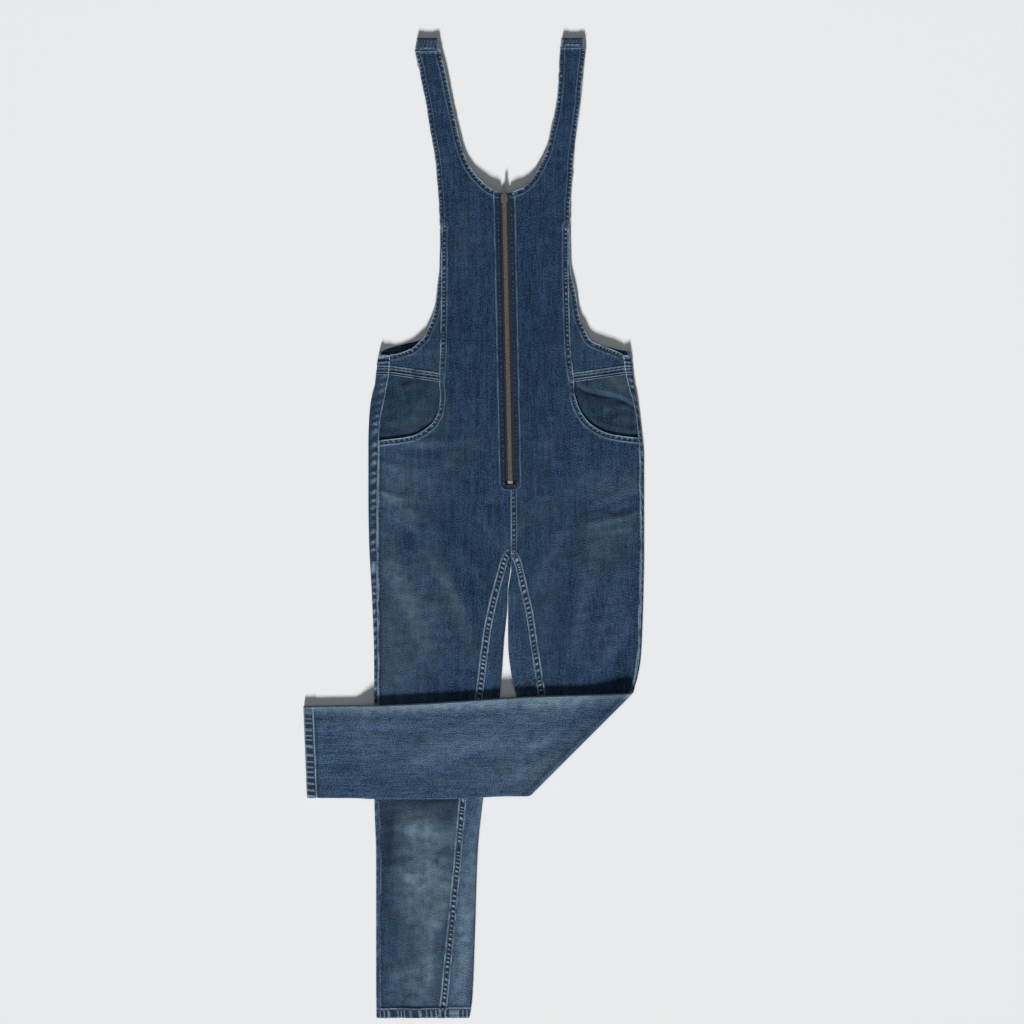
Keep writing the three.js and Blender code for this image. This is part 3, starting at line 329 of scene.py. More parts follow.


# how a sewn band stands up and wears, by kind, in millimetres from its edge: light ridge lines, the darker
# cloth between them, the short light puckers that cross part of it and a painted shadow just beyond the band
seamFields = "width raised rows lines dark beads pitch pucker slant beyond".split()
seamKinds = {name: SimpleNamespace(**dict(zip(seamFields, values))) for name, *values in (
    ("hem", 8.5, 0.6, [7.6], [(0.2, 1.0, 1.15), (8.0, 0.24, 0.6)], (1.5, 5.8, 1.0), (1.0, 4.8, 0.45),
     6.6, 0.22, 0.25, 0.15),
    ("zipEdge", 9, 0.3, [7.9], [(8.6, 0.5, 0.6)], (0.2, 6.2, 1.3), (2.0, 4.0, 0.17), 6.8, 0.15, 0.1, 0.15),
    ("fell", 9.5, 0.6, [1.8, 8.4], [(0.5, 1.0, 0.95), (9.0, 0.34, 0.7)], (1.5, 6.6, 1.0), (3.0, 5.8, 0.6),
     6.6, 0.2, 0.15, 0.1),
    ("inseam", 11, 0.6, [2.4, 8.6], [(0.8, 1.0, 0.75), (10.3, 1.0, 0.8)], (1.9, 9.2, 1.15), (3.2, 7.4, 1.0),
     7.2, 0.3, 0.25, 0.2),
    ("pocket", 8.5, 0.5, [1.9, 7.0], [(0.5, 0.95, 0.8), (7.9, 0.35, 0.6)], (1.6, 5.4, 0.8), (2.2, 4.8, 0.5),
     7.0, 0.18, 0.3, 0.2),
    ("side", 3, 0.5, [], [(0.6, 0.95, 0.75)], (1.8, 4.2, 0.8), (2, 4, 0.15), 7.5, 0.12, 0.3, 0.05),
    ("shoulder", 4.5, 0.3, [3.4], [(0.5, 0.25, 0.6), (3.2, 0.75, 0.6)], (1.2, 2.2, 0.6), (4.5, 7.5, 0.3),
     6, 0.25, 0.1, 0.3),
    ("legHem", 15, 0.6, [13.4], [(0.8, 0.6, 1.0), (14.2, 0.95, 0.9)], (1.5, 13.2, 0.85), (0.5, 11.5, 0.62),
     9.0, 0.4, 0.12, 0.7))}


def seamWork(x, y, seams):
    lift, wear, shade, tick, phase, best = (np.zeros(x.shape) for _ in range(6))
    for seam in seams:
        kind = seamKinds[seam["kind"]]
        signed, along = nearLine(x, y, seam["line"])
        drift = 0.6 if seam["kind"] == "side" else 0.25
        seed = seam["seed"]
        d = signed * seam["way"] + drift * wobble(along / 22, seed + 3)
        on = ease((d + 0.6) / 0.8) * (1 - ease((d - kind.width) / 1.2))
        turns = (along + kind.slant * d) / kind.pitch + 0.42 * wobble(along / 13, seed)
        strength = clamp(0.9 + 0.35 * wobble(along / 12, seed + 1))
        ripple = np.sin(2 * math.pi * turns) * strength
        low, high, depth = kind.dark
        window = ease((d - low + 0.8) / 1.2) * (1 - ease((d - high + 0.4) / 1.2))
        first, last, amount = kind.beads
        crossed = ease((d - first + 0.5) / 1.0) * (1 - ease((d - last + 0.5) / 1.0))
        near = np.abs(d) < kind.width + 2
        uneven = clamp(0.75 + 0.35 * wobble(along / 9, seed + 2)) * seam["worn"](y)
        lift = lift + kind.raised * on + (kind.pucker * ripple - 0.12) * np.maximum(window, crossed)
        shade = np.maximum(shade, depth * window * (0.75 + 0.25 * strength))
        phase = np.where(near & (crossed >= best), turns, phase)
        tick = np.where(near & (crossed >= best), amount * crossed * strength, tick)
        best = np.maximum(best, crossed)
        for offset, amount, wide in kind.lines:
            ridge = bell((d - offset) / wide)
            lift = lift + 0.22 * ridge
            wear = np.maximum(wear, clamp(amount * uneven) * ridge)
        # painted shadow that the raised band would cast on the cloth just beyond it
        shade = np.maximum(shade, kind.beyond * bell((d - kind.width - 1.8) / 1.6) * (0.7 + 0.3 * strength))
    return lift, dict(wear=wear, shade=shade, tick=tick, phase=phase)


# worn, dark and stained places: whitish fade, shade and khaki tint as soft ellipses
fades = table(
    spots, (-140, 610, -67, 90, 16, 0.10), (-80, 615, -68, 80, 14, 0.10), (-140, 272, -10, 34, 20, 0.2),
    (-60, 270, 8, 40, 26, 0.30), (-122, 200, 86, 90, 38, 0.50), (-128, 286, -8, 34, 13, 0.28),
    (-110, 262, 30, 22, 11, 0.32), (-142, 206, -40, 20, 9, 0.3), (-104, 150, 70, 34, 12, 0.25),
    (120, 620, 80, 90, 40, 0.02), (-150, 480, 88, 120, 30, 0.12), (-150, 790, -20, 60, 40, 0.17),
    (150, 790, 12, 55, 30, 0.12), (-120, 50, 88, 50, 50, 0.30), (-170, 600, 90, 200, 14, 0.12),
    (-130, 848, 0, 40, 6, 0.25), (-60, 120, 84, 140, 12, 0.3), (-152, 330, 88, 40, 10, 0.1),
    (-100, 216, -30, 40, 16, 0.15), (60, 600, 84, 120, 18, 0.10), (0, 1060, 90, 150, 100, -0.1))
khakis = table(
    spots, (-139, 605, -67, 85, 11, 0.30), (-78, 613, -68, 75, 10, 0.26), (-150, 540, -60, 60, 22, 0.12),
    (-110, 380, 85, 60, 40, 0.10), (150, 700, 10, 50, 40, 0.2), (-172, 560, 88, 60, 10, 0.25),
    (-120, 300, 0, 60, 30, 0.15), (-92, 880, 60, 40, 12, 0.2), (-70, 830, 40, 50, 20, 0.15),
    (-60, 1150, 88, 50, 20, 0.14), (40, 745, 30, 40, 18, 0.14), (60, 830, 60, 60, 14, 0.1),
    (-136, 292, -10, 24, 9, 0.4), (-106, 268, 20, 20, 8, 0.35), (-100, 160, 70, 40, 12, 0.3))
# darks: dark places of the cloth; the five narrow rows near y 735 to 752 are painted shade in the hips' short
# creases
darks = table(
    spots, (-112, 322, 2, 50, 15, 0.9), (-92, 290, 60, 24, 12, 0.5), (-172, 258, 88, 40, 10, 0.45),
    (-130, 232, 8, 42, 10, 0.35), (-162, 142, -60, 40, 13, 0.5), (-168, 285, 80, 40, 14, 0.4),
    (-96, 60, 80, 50, 16, 0.3), (-60, 1000, 86, 160, 26, 0.1), (52, 1000, 94, 170, 30, 0.12),
    (-110, 690, -50, 60, 12, 0.2), (120, 700, 30, 60, 14, 0.2), (-172, 560, 88, 90, 8, 0.2),
    (-176, 268, 88, 36, 9, 0.5), (150, 749, -20, 14, 3, 0.4), (174, 742, -14, 10, 3, 0.45),
    (162, 735, -16, 16, 2.5, 0.3), (-160, 752, 24, 12, 2.5, 0.35), (-148, 742, 16, 14, 2.5, 0.3))
backFades = table(
    spots, (110, 250, 88, 140, 50, 0.12), (170, 200, 88, 220, 8, 0.8), (60, 330, 60, 60, 34, 0.15),
    (-60, 130, 85, 150, 14, 0.62), (-28, 345, 80, 70, 10, 0.4), (120, 390, 45, 90, 40, 0.10),
    (90, 80, 88, 90, 50, 0.06), (176, 380, 80, 60, 12, 0.3))
backDarks = table(
    spots, (115, 158, 90, 26, 12, 0.35), (104, 314, 90, 50, 3, 0.35), (130, 120, 92, 90, 9, 0.2),
    (60, 200, 90, 100, 12, 0.25), (55, 60, 90, 60, 14, 0.2), (85, 300, 70, 60, 8, 0.2),
    (-12, 570, 88, 110, 14, 0.45), (26, 570, 98, 110, 14, 0.4))
facingKhakis = table(
    spots, (-142, 880, 20, 20, 10, 0.4), (-112, 905, 60, 24, 8, 0.15), (165, 940, -20, 34, 9, 0.6),
    (176, 880, 80, 24, 8, 0.2))


def addPiece(name, places, faces, look):
    mesh = bpy.data.meshes.new(name)
    mesh.from_pydata(((places + shift) * mm).tolist(), [], faces)
    mesh.materials.append(getattr(materials, look))
    piece = bpy.data.objects.new(name, mesh)
    bpy.context.collection.objects.link(piece)
    bpy.ops.object.select_all(action="DESELECT")
    piece.select_set(True)
    bpy.context.view_layer.objects.active = piece
    return piece


# the solid that a piece stands for has the same name, written zip_tape_left for zipTapeLeft
def joinFrame(piece, smooth, replaced=True):
    bpy.ops.object.shade_smooth_by_angle(angle=math.radians(smooth))
    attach(piece, "garment")
    if replaced:
        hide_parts("".join("_" + c.lower() if c.isupper() else c for c in piece.name))
    return piece


def editMesh(*steps):
    bpy.ops.object.mode_set(mode="EDIT")
    for step, settings in steps:
        bpy.ops.mesh.select_all(action="SELECT")
        step(**settings)
    bpy.ops.object.mode_set(mode="OBJECT")


# turns runs of point rows into one sheet with its thickness
def makeSheet(name, runs, flip, look, thickness=s.shell):
    def joined(parts):
        return np.concatenate([part.reshape(-1, *part.shape[2:]) for part in parts])

    faces, offset = [], 0
    for run in runs:
        rows, columns = run["at"].shape[:2]
        i, j = np.mgrid[: rows - 1, : columns - 1]
        a = offset + (i * columns + j).ravel()
        quads = stacked(a, a + columns, a + columns + 1, a + 1)
        faces.append(quads[:, ::-1] if flip else quads)
        offset += rows * columns
    faces = np.concatenate(faces)
    piece = addPiece(name, joined(run["at"] for run in runs), faces.tolist(), look)
    cloth = joined(run.get("cloth", run["at"][..., :2]) for run in runs)[faces.ravel()] * mm
    piece.data.uv_layers.new(name="cloth").uv.foreach_set("vector", cloth.astype(np.float32).ravel())
    for key in markNames:
        values = joined(np.broadcast_to(run.get(key, 0.0), run["at"].shape[:2]) for run in runs)
        values = values if key == "phase" else clamp(values)
        piece.data.attributes.new(key, "FLOAT", "POINT").data.foreach_set("value", values.astype(np.float32))
    editMesh((bpy.ops.mesh.remove_doubles, dict(threshold=0.00001)))
    wall = piece.modifiers.new("cloth", "SOLIDIFY")
    wall.thickness, wall.offset, wall.use_even_offset = thickness * mm, -1, False
    bpy.ops.object.modifier_apply(modifier="cloth")
    return joinFrame(piece, 50)


def halfSheet(h, name, runs, look, flipped="left", thickness=s.shell):
    return makeSheet(name + h.side.title(), runs, h.side == flipped, look, thickness)


# rows of the half body and leg as pairs of heights, where each meets the outer and the inner edge
def creaseRow(reach):
    offset = k.creaseLine + root2 * (reach - k.foldHeight)

    def solve(edge):
        y = 450.0
        for _ in range(40):
            y = float(edge(y)) - offset
        return y

    return solve(left.edge), solve(left.innerEdge)


def between(a, b, count, last=False):
    steps = np.arange(count + (1 if last else 0)) / count
    return [(mix(a[0], b[0], t), mix(a[1], b[1], t)) for t in steps]


# lengths of the leg's parts and counts of their rows
rowFacts = dict(leg=665, aboveFold=225, belowFold=412, hem=18, hemCount=18, rollCount=14, frontStep=2.4,
                backStep=3.2, fineStep=1.0, leastStep=0.35)
r = SimpleNamespace(**rowFacts)
fineZones = ((774, 794), (1210, 1262), (1426, 1450))


def legRows(h, spacing):
    top, hem = (s.crotchY, s.crotchY), hems[h.side]
    band = (hem[0] + r.hem, hem[1] + r.hem)
    last = between(band, hem, r.hemCount, True)
    if h is right:
        return between(top, band, int(r.leg / spacing)) + last
    rolls = [creaseRow(foldReach * i / r.rollCount) for i in range(r.rollCount)]
    above = between(top, creaseRow(0), int(r.aboveFold / spacing))
    return above + rolls + between(creaseRow(foldReach), band, int(r.belowFold / spacing)) + last


# heights along slanted rows, for one x in each row or for a whole row of them
def slant(h, rows):
    outer, inner = np.array(rows).T
    a = h.edge(outer)
    b = np.where(outer < s.crotchY, h.innerEdge(inner), s.crotchX)

    def line(x):
        if np.ndim(x) < 2:
            return mix(outer, inner, (x - a) / (b - a))
        return mix(outer[:, None], inner[:, None], (x - a[:, None]) / (b - a)[:, None])

    return line


def crossing(line, seam):
    x = seam(line(0.0))
    for _ in range(12):
        x = seam(line(x))
    return x


def frontOutline(h, y):
    y = np.asarray(y, float)
    below = np.where(y > h.pocketEnd, h.princess(y), h.seam(y))
    return np.where(y > s.princessTop, h.bib(y) - h.halfGap, below)


def frontInner(h, y):
    y = np.asarray(y, float)
    low = np.where(y > s.crotchY, s.crotchX, h.inseam(y))
    middle = np.where(y > s.zipMouth, zipAxis(y) - h.inward * s.zipOpening, low)
    return np.where(y > s.neckBottom, h.neck(y), middle)


# places across a row: on the lines of the two sewn bands, which take a share of it, wider between
outerPlaces = np.array([0, 0.5, 1.1, 1.8, 2.6, 3.6, 4.8, 6.0, 7.0, 7.7, 8.2, 8.8, 9.5, 10.4, 11.6, 13.2])
innerPlaces = np.array([0, 0.7, 1.4, 2.2, 3.2, 4.4, 5.6, 6.8, 7.8, 8.7, 9.5, 10.2, 10.8, 11.5, 12.6, 14.2, 17])
bandShare = 0.42


def across(width, middleCount=26):
    outer, inner = (places * min(1, width * bandShare / places[-1]) for places in (outerPlaces, innerPlaces))
    middle = np.linspace(outer[-1], width - inner[-1], middleCount + 1)[1:-1]
    return np.concatenate([outer, middle, width - inner[::-1]]) / width


# heights of each leg's hem at its outer and inner edge
hems = dict(right=(0.0, 0.0), left=(-7.4, -2.0))


def seamOf(h, kind, xs, heights, way, number, worn=lambda y: 1.0):
    return dict(kind=kind, line=stacked(xs, heights), way=way, seed=h.seed + number, worn=worn)


# the seams are less worn low on the leg
def lowFade(y, least=0.35):
    return mix(least, 1, ease((y - s.fadeLow) / s.fadeLong))


# all lines run down, so the wearer's right half lies on their left
def seamsOfFront(h):
    outerHem, innerHem = hems[h.side]
    out, way = h.inward, -h.inward
    ys = np.arange(shoulderSeam[h.side], outerHem + 1, -2.0)
    up, low = ys[ys > s.princessTop], ys[ys < h.pocketEnd]
    neck = np.concatenate([ys[ys > s.neckCurve], np.linspace(s.neckCurve, s.neckBottom + 0.2, 60)])
    princess, pocket = np.arange(s.princessTop, 950, -2.0), np.linspace(955, h.pocketEnd, 120)
    zipSide = ys[(ys < s.neckBottom) & (ys > s.zipMouth)]
    zipX = np.append(zipAxis(zipSide) - h.inward * s.zipOpening, zipAxis(s.zipMouth))
    shoulderX = np.linspace(float(h.bib(ys[0])), float(h.neck(ys[0])), 20)
    leg = np.arange(s.crotchY, innerHem + 1, -2.0)
    seams = [
        seamOf(h, "hem", h.bib(up), up, out, 0), seamOf(h, "hem", h.neck(neck), neck, way, 1),
        seamOf(h, "fell", h.princess(princess), princess, out, 2),
        seamOf(h, "pocket", h.princess(pocket), pocket, out, 3, lambda y: 1.8 - 0.8 * ease((y - 852) / 12)),
        seamOf(h, "side", h.seam(low), low, out, 4, lowFade),
        seamOf(h, "zipEdge", zipX, np.append(zipSide, s.zipMouth), way, 5,
               lambda y: mix(0.3, 1, ease((y - 782) / 14))),
        seamOf(h, "shoulder", shoulderX, ys[0], way, 9), seamOf(h, "inseam", h.inseam(leg), leg, way, 6)]
    if h is left:
        seams.append(seamOf(h, "fell", s.crotchX, np.arange(s.zipMouth - 7.5, s.crotchY - 1, -2.0), way, 7))
    ends = float(h.edge(outerHem)), float(h.innerEdge(innerHem))
    x = np.linspace(min(ends) - 8, max(ends) + 8, 60)
    slope = (innerHem - outerHem) / (ends[1] - ends[0])
    return seams + [seamOf(h, "legHem", x, outerHem + slope * (x - ends[0]), 1, 8)]


seamsOf = {h.side: seamsOfFront(h) for h in (right, left)}


# relief and marks of a half's sewn bands, pressed flat where the leg folds
def frontSeams(h, x, y):
    lift, marks = seamWork(x, y, seamsOf[h.side])
    if h is left:
        lift = lift * mix(1, 0.15, ease((pastCrease(x, y) + 20) / 20))
    return lift, marks


def frontRun(h, rows):
    line = slant(h, rows)
    x0 = crossing(line, lambda y: frontOutline(h, y)) + h.halfGap
    x1 = crossing(line, lambda y: frontInner(h, y)) - h.halfGap
    heights = np.array(rows)[:, 0]
    x0 = x0 + np.where(heights > s.princessTop, 0.3 * wobble(heights / 6, h.seed + 60), 0)
    x1 = x1 + np.where(heights > s.neckBottom + 8, 0.3 * wobble(heights / 6, h.seed + 61), 0)
    x = mix(x0[:, None], x1[:, None], np.array([across(width) for width in np.abs(x1 - x0)]))
    y = line(x)
    lift, marks = frontSeams(h, x, y)
    # worn and dark: paler crease ridges and darker troughs, partly wear and partly painted light and shade
    worn, dark = ridgeWearAndPaintedShading(frontCreases, frontFolds, x, y)
    calm = 1 - np.maximum(marks["wear"], marks["shade"])
    marks["shade"] = np.maximum(marks["shade"], (foldSum(darks, x, y) + dark) * calm)
    return dict(marks, at=frontPlace(h, x, y, lift), cloth=stacked(x, y), fade=foldSum(fades, x, y) + worn,
                khaki=foldSum(khakis, x, y))


# paler on the creases' ridges and darker in the troughs beside them: partly wear of washed cloth, partly painted
# light and shade that deepens the creases' shading
def ridgeWearAndPaintedShading(fine, large, x, y):
    height = foldSum(fine, x, y) + 0.5 * foldSum(large, x, y) + 0.12 * wave(x, y) + 0.08 * ruffle(x, y)
    return 0.2 * clamp(height / 0.8), 0.34 * clamp(-height / 0.6)


def upperRows(h):
    rows, y = [], shoulderSeam[h.side] - s.gap
    while y > s.crotchY + 0.5:
        rows.append((y, y))
        slope = float(frontOutline(h, y) - frontOutline(h, y - 0.5)) / 0.5
        slope = min(abs(slope), 12) if abs(y - s.princessTop) > 1 else 0
        slope = max(slope, min(3, abs(float(frontInner(h, y) - frontInner(h, y - 0.5)) / 0.5)))
        fine = abs(y - h.pocketEnd - 1) < 14 or any(low < y < high for low, high in fineZones)
        step = min(r.fineStep if fine else r.frontStep, r.frontStep / math.sqrt(1 + slope ** 2))
        y -= max(r.leastStep, step)
    return rows


def foldLeg(h, run):
    if h is left:
        run["at"] = foldKnee(run["at"])
    return run


def makeFront(h):
    return halfSheet(h, "front", [foldLeg(h, frontRun(h, upperRows(h) + legRows(h, r.frontStep)))], "front")


# the side front's rows, as the heights of their outer and inner ends
sideRows = table(
    "outer inner", (966.3, 955.3), (981.5, 967), (983.5, 974), (987, 981), (992, 989), (1001, 1000), (1009, 1009),
    (1018, 1018), (1029, 1029), (1168, 1168))


def makeSideFront(h):
    places = np.linspace(0, 9, 120)
    outer, inner = (np.interp(places, np.arange(10), sideRows[key]) for key in ("outer", "inner"))
    outline = np.where(outer < 982, h.seam(outer), h.bib(outer))
    x0 = outline + h.halfGap
    x1 = h.princess(inner) - h.halfGap
    t = np.array([across(width, 12) for width in np.abs(x1 - x0)])
    x, y = mix(x0[:, None], x1[:, None], t), mix(outer[:, None], inner[:, None], t)
    arm = outer > 981
    lift, marks = seamWork(x, y, [seamOf(h, "hem", outline[arm][::-1], outer[arm][::-1], h.inward, 30)])
    run = dict(marks, at=frontPlace(h, x, y, lift), cloth=stacked(x, y), fade=0.03, khaki=0.06)
    return halfSheet(h, "sideFront", [run], "front", "right")


# a waist strip over its width from 0 to 1: a soft puckered ridge on top, dark grooves and thin light lines
stripLines = ((0.06, 0.5, 0.09), (0.34, 0.6, 0.06), (0.70, 0.8, 0.05), (0.95, 0.9, 0.06))


def stripRelief(v, along, seed):
    lines = sum(amount * bell((v - place) / wide) for place, amount, wide in stripLines)
    grooves = sum(bell((v - place) / 0.06) for place in (0.22, 0.56, 0.84))
    turns = (along + 3 * v) / 8 + 0.5 * wobble(along / 14, seed)
    uneven = clamp(0.8 + 0.35 * wobble(along / 9, seed + 1))
    puckered = bell((v - 0.14) / 0.12) + 0.5 * bell((v - 0.45) / 0.08)
    lift = 0.3 + 0.5 * lines - 0.25 * grooves + 0.16 * np.sin(2 * math.pi * turns) * puckered
    return lift, dict(wear=np.minimum(1, 0.85 * lines * uneven), shade=0.6 + 0.55 * clamp(grooves),
                      tick=0.3 * puckered * uneven, phase=turns)


def makeWaistStrip(h):
    t, u = np.meshgrid(np.linspace(0, 1, 27), np.linspace(0, 1, 48), indexing="ij")
    outer, inner = (mix(stripTop[end], stripLow[end], t) for end in ("side", "centre"))
    x0 = h.seam(outer) + h.halfGap
    x1 = h.princess(inner) - h.halfGap
    x, y = mix(x0, x1, u), mix(outer, inner, u)
    lift, marks = stripRelief(t, np.abs(x), h.seed + 40)
    return halfSheet(h, "waistStrip", [dict(marks, at=frontPlace(h, x, y, lift), cloth=stacked(x, y))], "front")


# the left facing's slanting crease, with a painted highlight line above it and painted shade in it and in a broad
# band below
facingCrease = dict(slope=0.355, x=140, bend=3, bendX=100, bendLength=14, crease=922, light=927.5, hollow=913)
f = SimpleNamespace(**facingCrease)


def makePocketBack(h):
    v, u = np.meshgrid(np.linspace(0, 1, 110), np.linspace(0, 1, 56), indexing="ij")
    outer, inner = (mix(stripLow[end] - s.gap, s.pocketDepth, v) for end in ("side", "centre"))
    shown = ease((outer - h.pocketEnd) / 8)
    x0 = h.seam(outer) + h.inward * mix(5, s.gap / 2, shown)
    x1 = h.princess(np.maximum(inner, s.pocketTuck))
    x1 = x1 + h.inward * mix(9, -s.gap / 2, ease((inner - s.pocketTuck) / 3))
    x, y = mix(x0, x1, u), mix(outer, inner, u)
    shelf = np.minimum(frontPlace(h, x, y)[..., 2], s.tubeTop) - s.cloth - s.gap
    pocket = [seam for seam in seamsOf[h.side] if seam["kind"] == "pocket"][0]
    opened = -nearLine(x, y, pocket["line"], 200)[0] * h.inward
    shelf = shelf + 0.6 * ease((opened + 6) / 3) * ease((20 - opened) / 12)

    def dent(low, width, bend=f.bend):
        middle = low - f.slope * (x - f.x) - bend * np.sin((x - f.bendX) / f.bendLength)
        return bell((y - middle) / width) * (h is left)

    crease = dent(f.crease, 2.4)
    relief = 0.2 * wave(x, y) + 0.12 * ruffle(x, y) - 0.7 * crease
    # painted shade in the crease and in the broad band below it
    shade = 0.7 * crease * (0.65 + 0.35 * np.sin(x / 5)) + 0.35 * dent(f.hollow, 10, 0)
    # painted shade along the pocket's curve, where the front's edge lies over the facing
    shade = shade + 0.35 * bell((opened - 1) / 3)
    # the wear mark here paints a highlight line along the crease's upper lip
    run = dict(at=stacked(x, y, shelf + relief * ease((opened - 1) / 6)), shade=0.12 + shade,
               wear=0.2 * dent(f.light, 3) * (opened > 3), khaki=foldSum(facingKhakis, x, y),
               fade=0.05 + 0.12 * clamp(ruffle(x, y)))
    return halfSheet(h, "pocketBack", [run], "facing")


# the back's part outside the side seam, round the edge and under: y holds one column for each place
wrapCount, wrapTop = 18, 9
wrapBeside = np.array([0, 0.6, 1.3, 2.2]), np.array([0, 0.15, 0.3, 0.5])
wrapFurther = np.array([0.33, 0.48, 0.63, 0.78, 0.9])


def wrapPlaces(h, y, liftOf):
    upper, lower = y[:, :wrapTop], y[:, wrapTop:]
    depth = (h.seam(upper) - h.halfGap - h.edge(upper)) * h.inward
    beside = np.minimum(wrapBeside[0], (depth[:, :4] - s.rim) * wrapBeside[1])
    depth = np.concatenate([depth[:, :4] - beside, mix(depth[:, 4:], s.rim, wrapFurther)], axis=1)
    top = frontPlace(h, h.edge(upper) + h.inward * depth, upper, liftOf(upper, depth))
    angle = np.linspace(90, -90, 9) + 0 * lower
    lift = liftOf(lower, s.rim + 0 * angle) * np.maximum(0, angle / 90)
    return np.concatenate([top, rollPlace(h, False, lower, angle, lift)], axis=1)


def level(ys, count):
    return np.repeat(np.asarray(ys, float)[:, None], count, axis=1)


def wrapMarks(h, x, y, z):
    strength = clamp(0.9 + 0.35 * wobble(y / 18, h.seed + 50))
    ripple = np.sin(2 * math.pi * (y + 0.4 * np.abs(x)) / 13 + 2.2 * wobble(y / 15, h.seed + 51)) * strength
    top = ease((z - 1.2) / 1.6)
    away = np.abs(x - h.seam(y))
    low = lowFade(y) * lowFade(y, 0.3)
    line = 0.85 * bell((away - 0.5) / 0.7) * clamp(0.85 + 0.3 * wobble(y / 11, h.seed + 52)) * low
    light = 0.7 * clamp(1.4 * ripple - 0.3) * bell((away - 6) / 3.4) * mix(0.5, 1, low)
    dark = (0.4 + 0.55 * clamp(0.7 * bell((away - 2.2) / 1.4) - 1.1 * ripple)) * low
    return (light + line) * top, dark * top * ease((away - 1.2) / 1)


def clothOf(at, h, anchor):
    steps = np.hypot(np.diff(at[..., 0], axis=1), np.diff(at[..., 2], axis=1))
    travelled = np.concatenate([np.zeros((len(at), 1)), np.cumsum(steps, axis=1)], axis=1)
    travelled = travelled - travelled[:, anchor, None]
    return stacked(at[:, anchor, 0][:, None] + h.inward * travelled, at[..., 1])


def wrapLift(h, y, d):
    strength = clamp(0.6 + 0.5 * wobble(y / 9, h.seed + 50))
    phase = 2 * math.pi * (y + 0.6 * d) / 7.5 + 1.2 * wobble(y / 12, h.seed + 51)
    return 0.2 * np.sin(phase) * strength * ease((d - 1) / 3)


def backLegRun(h, rows, withInner):
    outer, inner = np.array(rows).T
    line = slant(h, rows)
    y = level(outer, wrapCount)
    for _ in range(5):
        wraps = wrapPlaces(h, y, lambda heights, d: wrapLift(h, heights, d))
        y = line(wraps[..., 0])
    x0 = h.edge(outer) + h.inward * (s.rim + 6)
    if withInner:
        x1 = h.innerEdge(inner) - h.inward * (s.rim + 6)
    else:
        x1 = 0 * x0 + s.crotchX - h.halfGap
    x = mix(x0[:, None], x1[:, None], np.linspace(0, 1, 26))
    y = line(x)
    parts = [wraps, stacked(x, y, -backDown(x, y))]
    if withInner:
        edgeY = level(line(h.innerEdge(inner)), 9)
        parts.append(rollPlace(h, True, edgeY, np.linspace(-90, 90, 9)[None] + 0 * edgeY))
        seamX = crossing(line, h.inseam) + h.halfGap
        rimX = h.innerEdge(edgeY[:, 0]) - h.inward * s.rim
        x = mix(rimX[:, None], seamX[:, None], np.linspace(0, 1, 7)[None, 1:])
        y = line(x)
        puckers = 0.12 * np.sin(2 * math.pi * y / 7) * ease(np.linspace(0, 2, 7)[None, 1:])
        parts.append(frontPlace(h, x, y, puckers))
    at = np.concatenate(parts, axis=1)
    cloth = clothOf(at, h, wrapCount + 1)
    x, y = at[..., 0].copy(), at[..., 1]
    column = np.arange(at.shape[1])
    flat, outside = column >= wrapTop, column < wrapCount
    wear, shade = wrapMarks(h, x, y, at[..., 2])
    lift, hem = seamWork(x, y, [seamsOf[h.side][-1]])
    past = np.where(h is left, pastCrease(x, y), -1e3)
    folded = past > 0
    at[..., 2] -= np.where(folded & (at[..., 2] < 1.5) & flat, lift, 0)
    edgeWear = 0.75 * bell((np.abs(x - h.edge(y)) - 1.5) / 1.6) * folded
    # painted shade on the folded leg's inner edge and round the knee fold's roll, where the low key light would
    # show a bright rim
    innerShade = 0.6 * bell(np.abs(x - h.innerEdge(y)) / 2.5) * folded
    roll = ease((past + 14) / 8) * (1 - ease((past - 14) / 8))
    # worn and dark: paler crease ridges and darker troughs, partly wear and partly painted light and shade
    worn, dark = ridgeWearAndPaintedShading(backCreases, backFolds, x, y)
    wear = np.where(outside & ~folded, wear, 0) + (edgeWear + hem["wear"]) * flat
    shade = np.where(outside & ~folded, shade, 0) + 0.6 * roll + innerShade
    shade = shade + (hem["shade"] + foldSum(backDarks, x, y) + dark) * flat
    return dict(at=at, cloth=cloth, wear=wear, shade=shade, tick=hem["tick"] * flat, phase=hem["phase"],
                fade=foldSum(backFades, x, y) + worn * flat)


def makeBackLeg(h):
    top = stripLow["side"] - s.gap
    hipEnd = (s.crotchY + 1, s.crotchY + 1)
    runs = [backLegRun(h, between((top, top), hipEnd, 92, True), False),
            backLegRun(h, [hipEnd] + legRows(h, r.backStep)[1:], True)]
    return halfSheet(h, "backLeg", [foldLeg(h, run) for run in runs], "back", "right")


# a row of the back at one height, from side seam to side seam
def roundRow(y, columns, lifts, keep=wrapCount):
    ends = [wrapPlaces(h, level([y], wrapCount), lambda heights, d: lift + 0 * heights)[0][-keep:]
            for h, lift in zip((right, left), lifts)]
    x = np.linspace(float(right.edge(y)) + 8.5, float(left.edge(y)) - 8.5, columns)
    return np.concatenate([ends[0], stacked(x, y, 0), ends[1][::-1]])


def besideSeam(at):
    x, y = at[..., 0], at[..., 1]
    return np.abs(x - np.where(x < 0, right.seam(y), left.seam(y)))


bibFacts = dict(columns=40, inset=0.8, turn=s.bibTop / 2, chestLow=1022, curve=1.6, narrowing=1.6, hem=0.45)
bib = SimpleNamespace(**bibFacts)


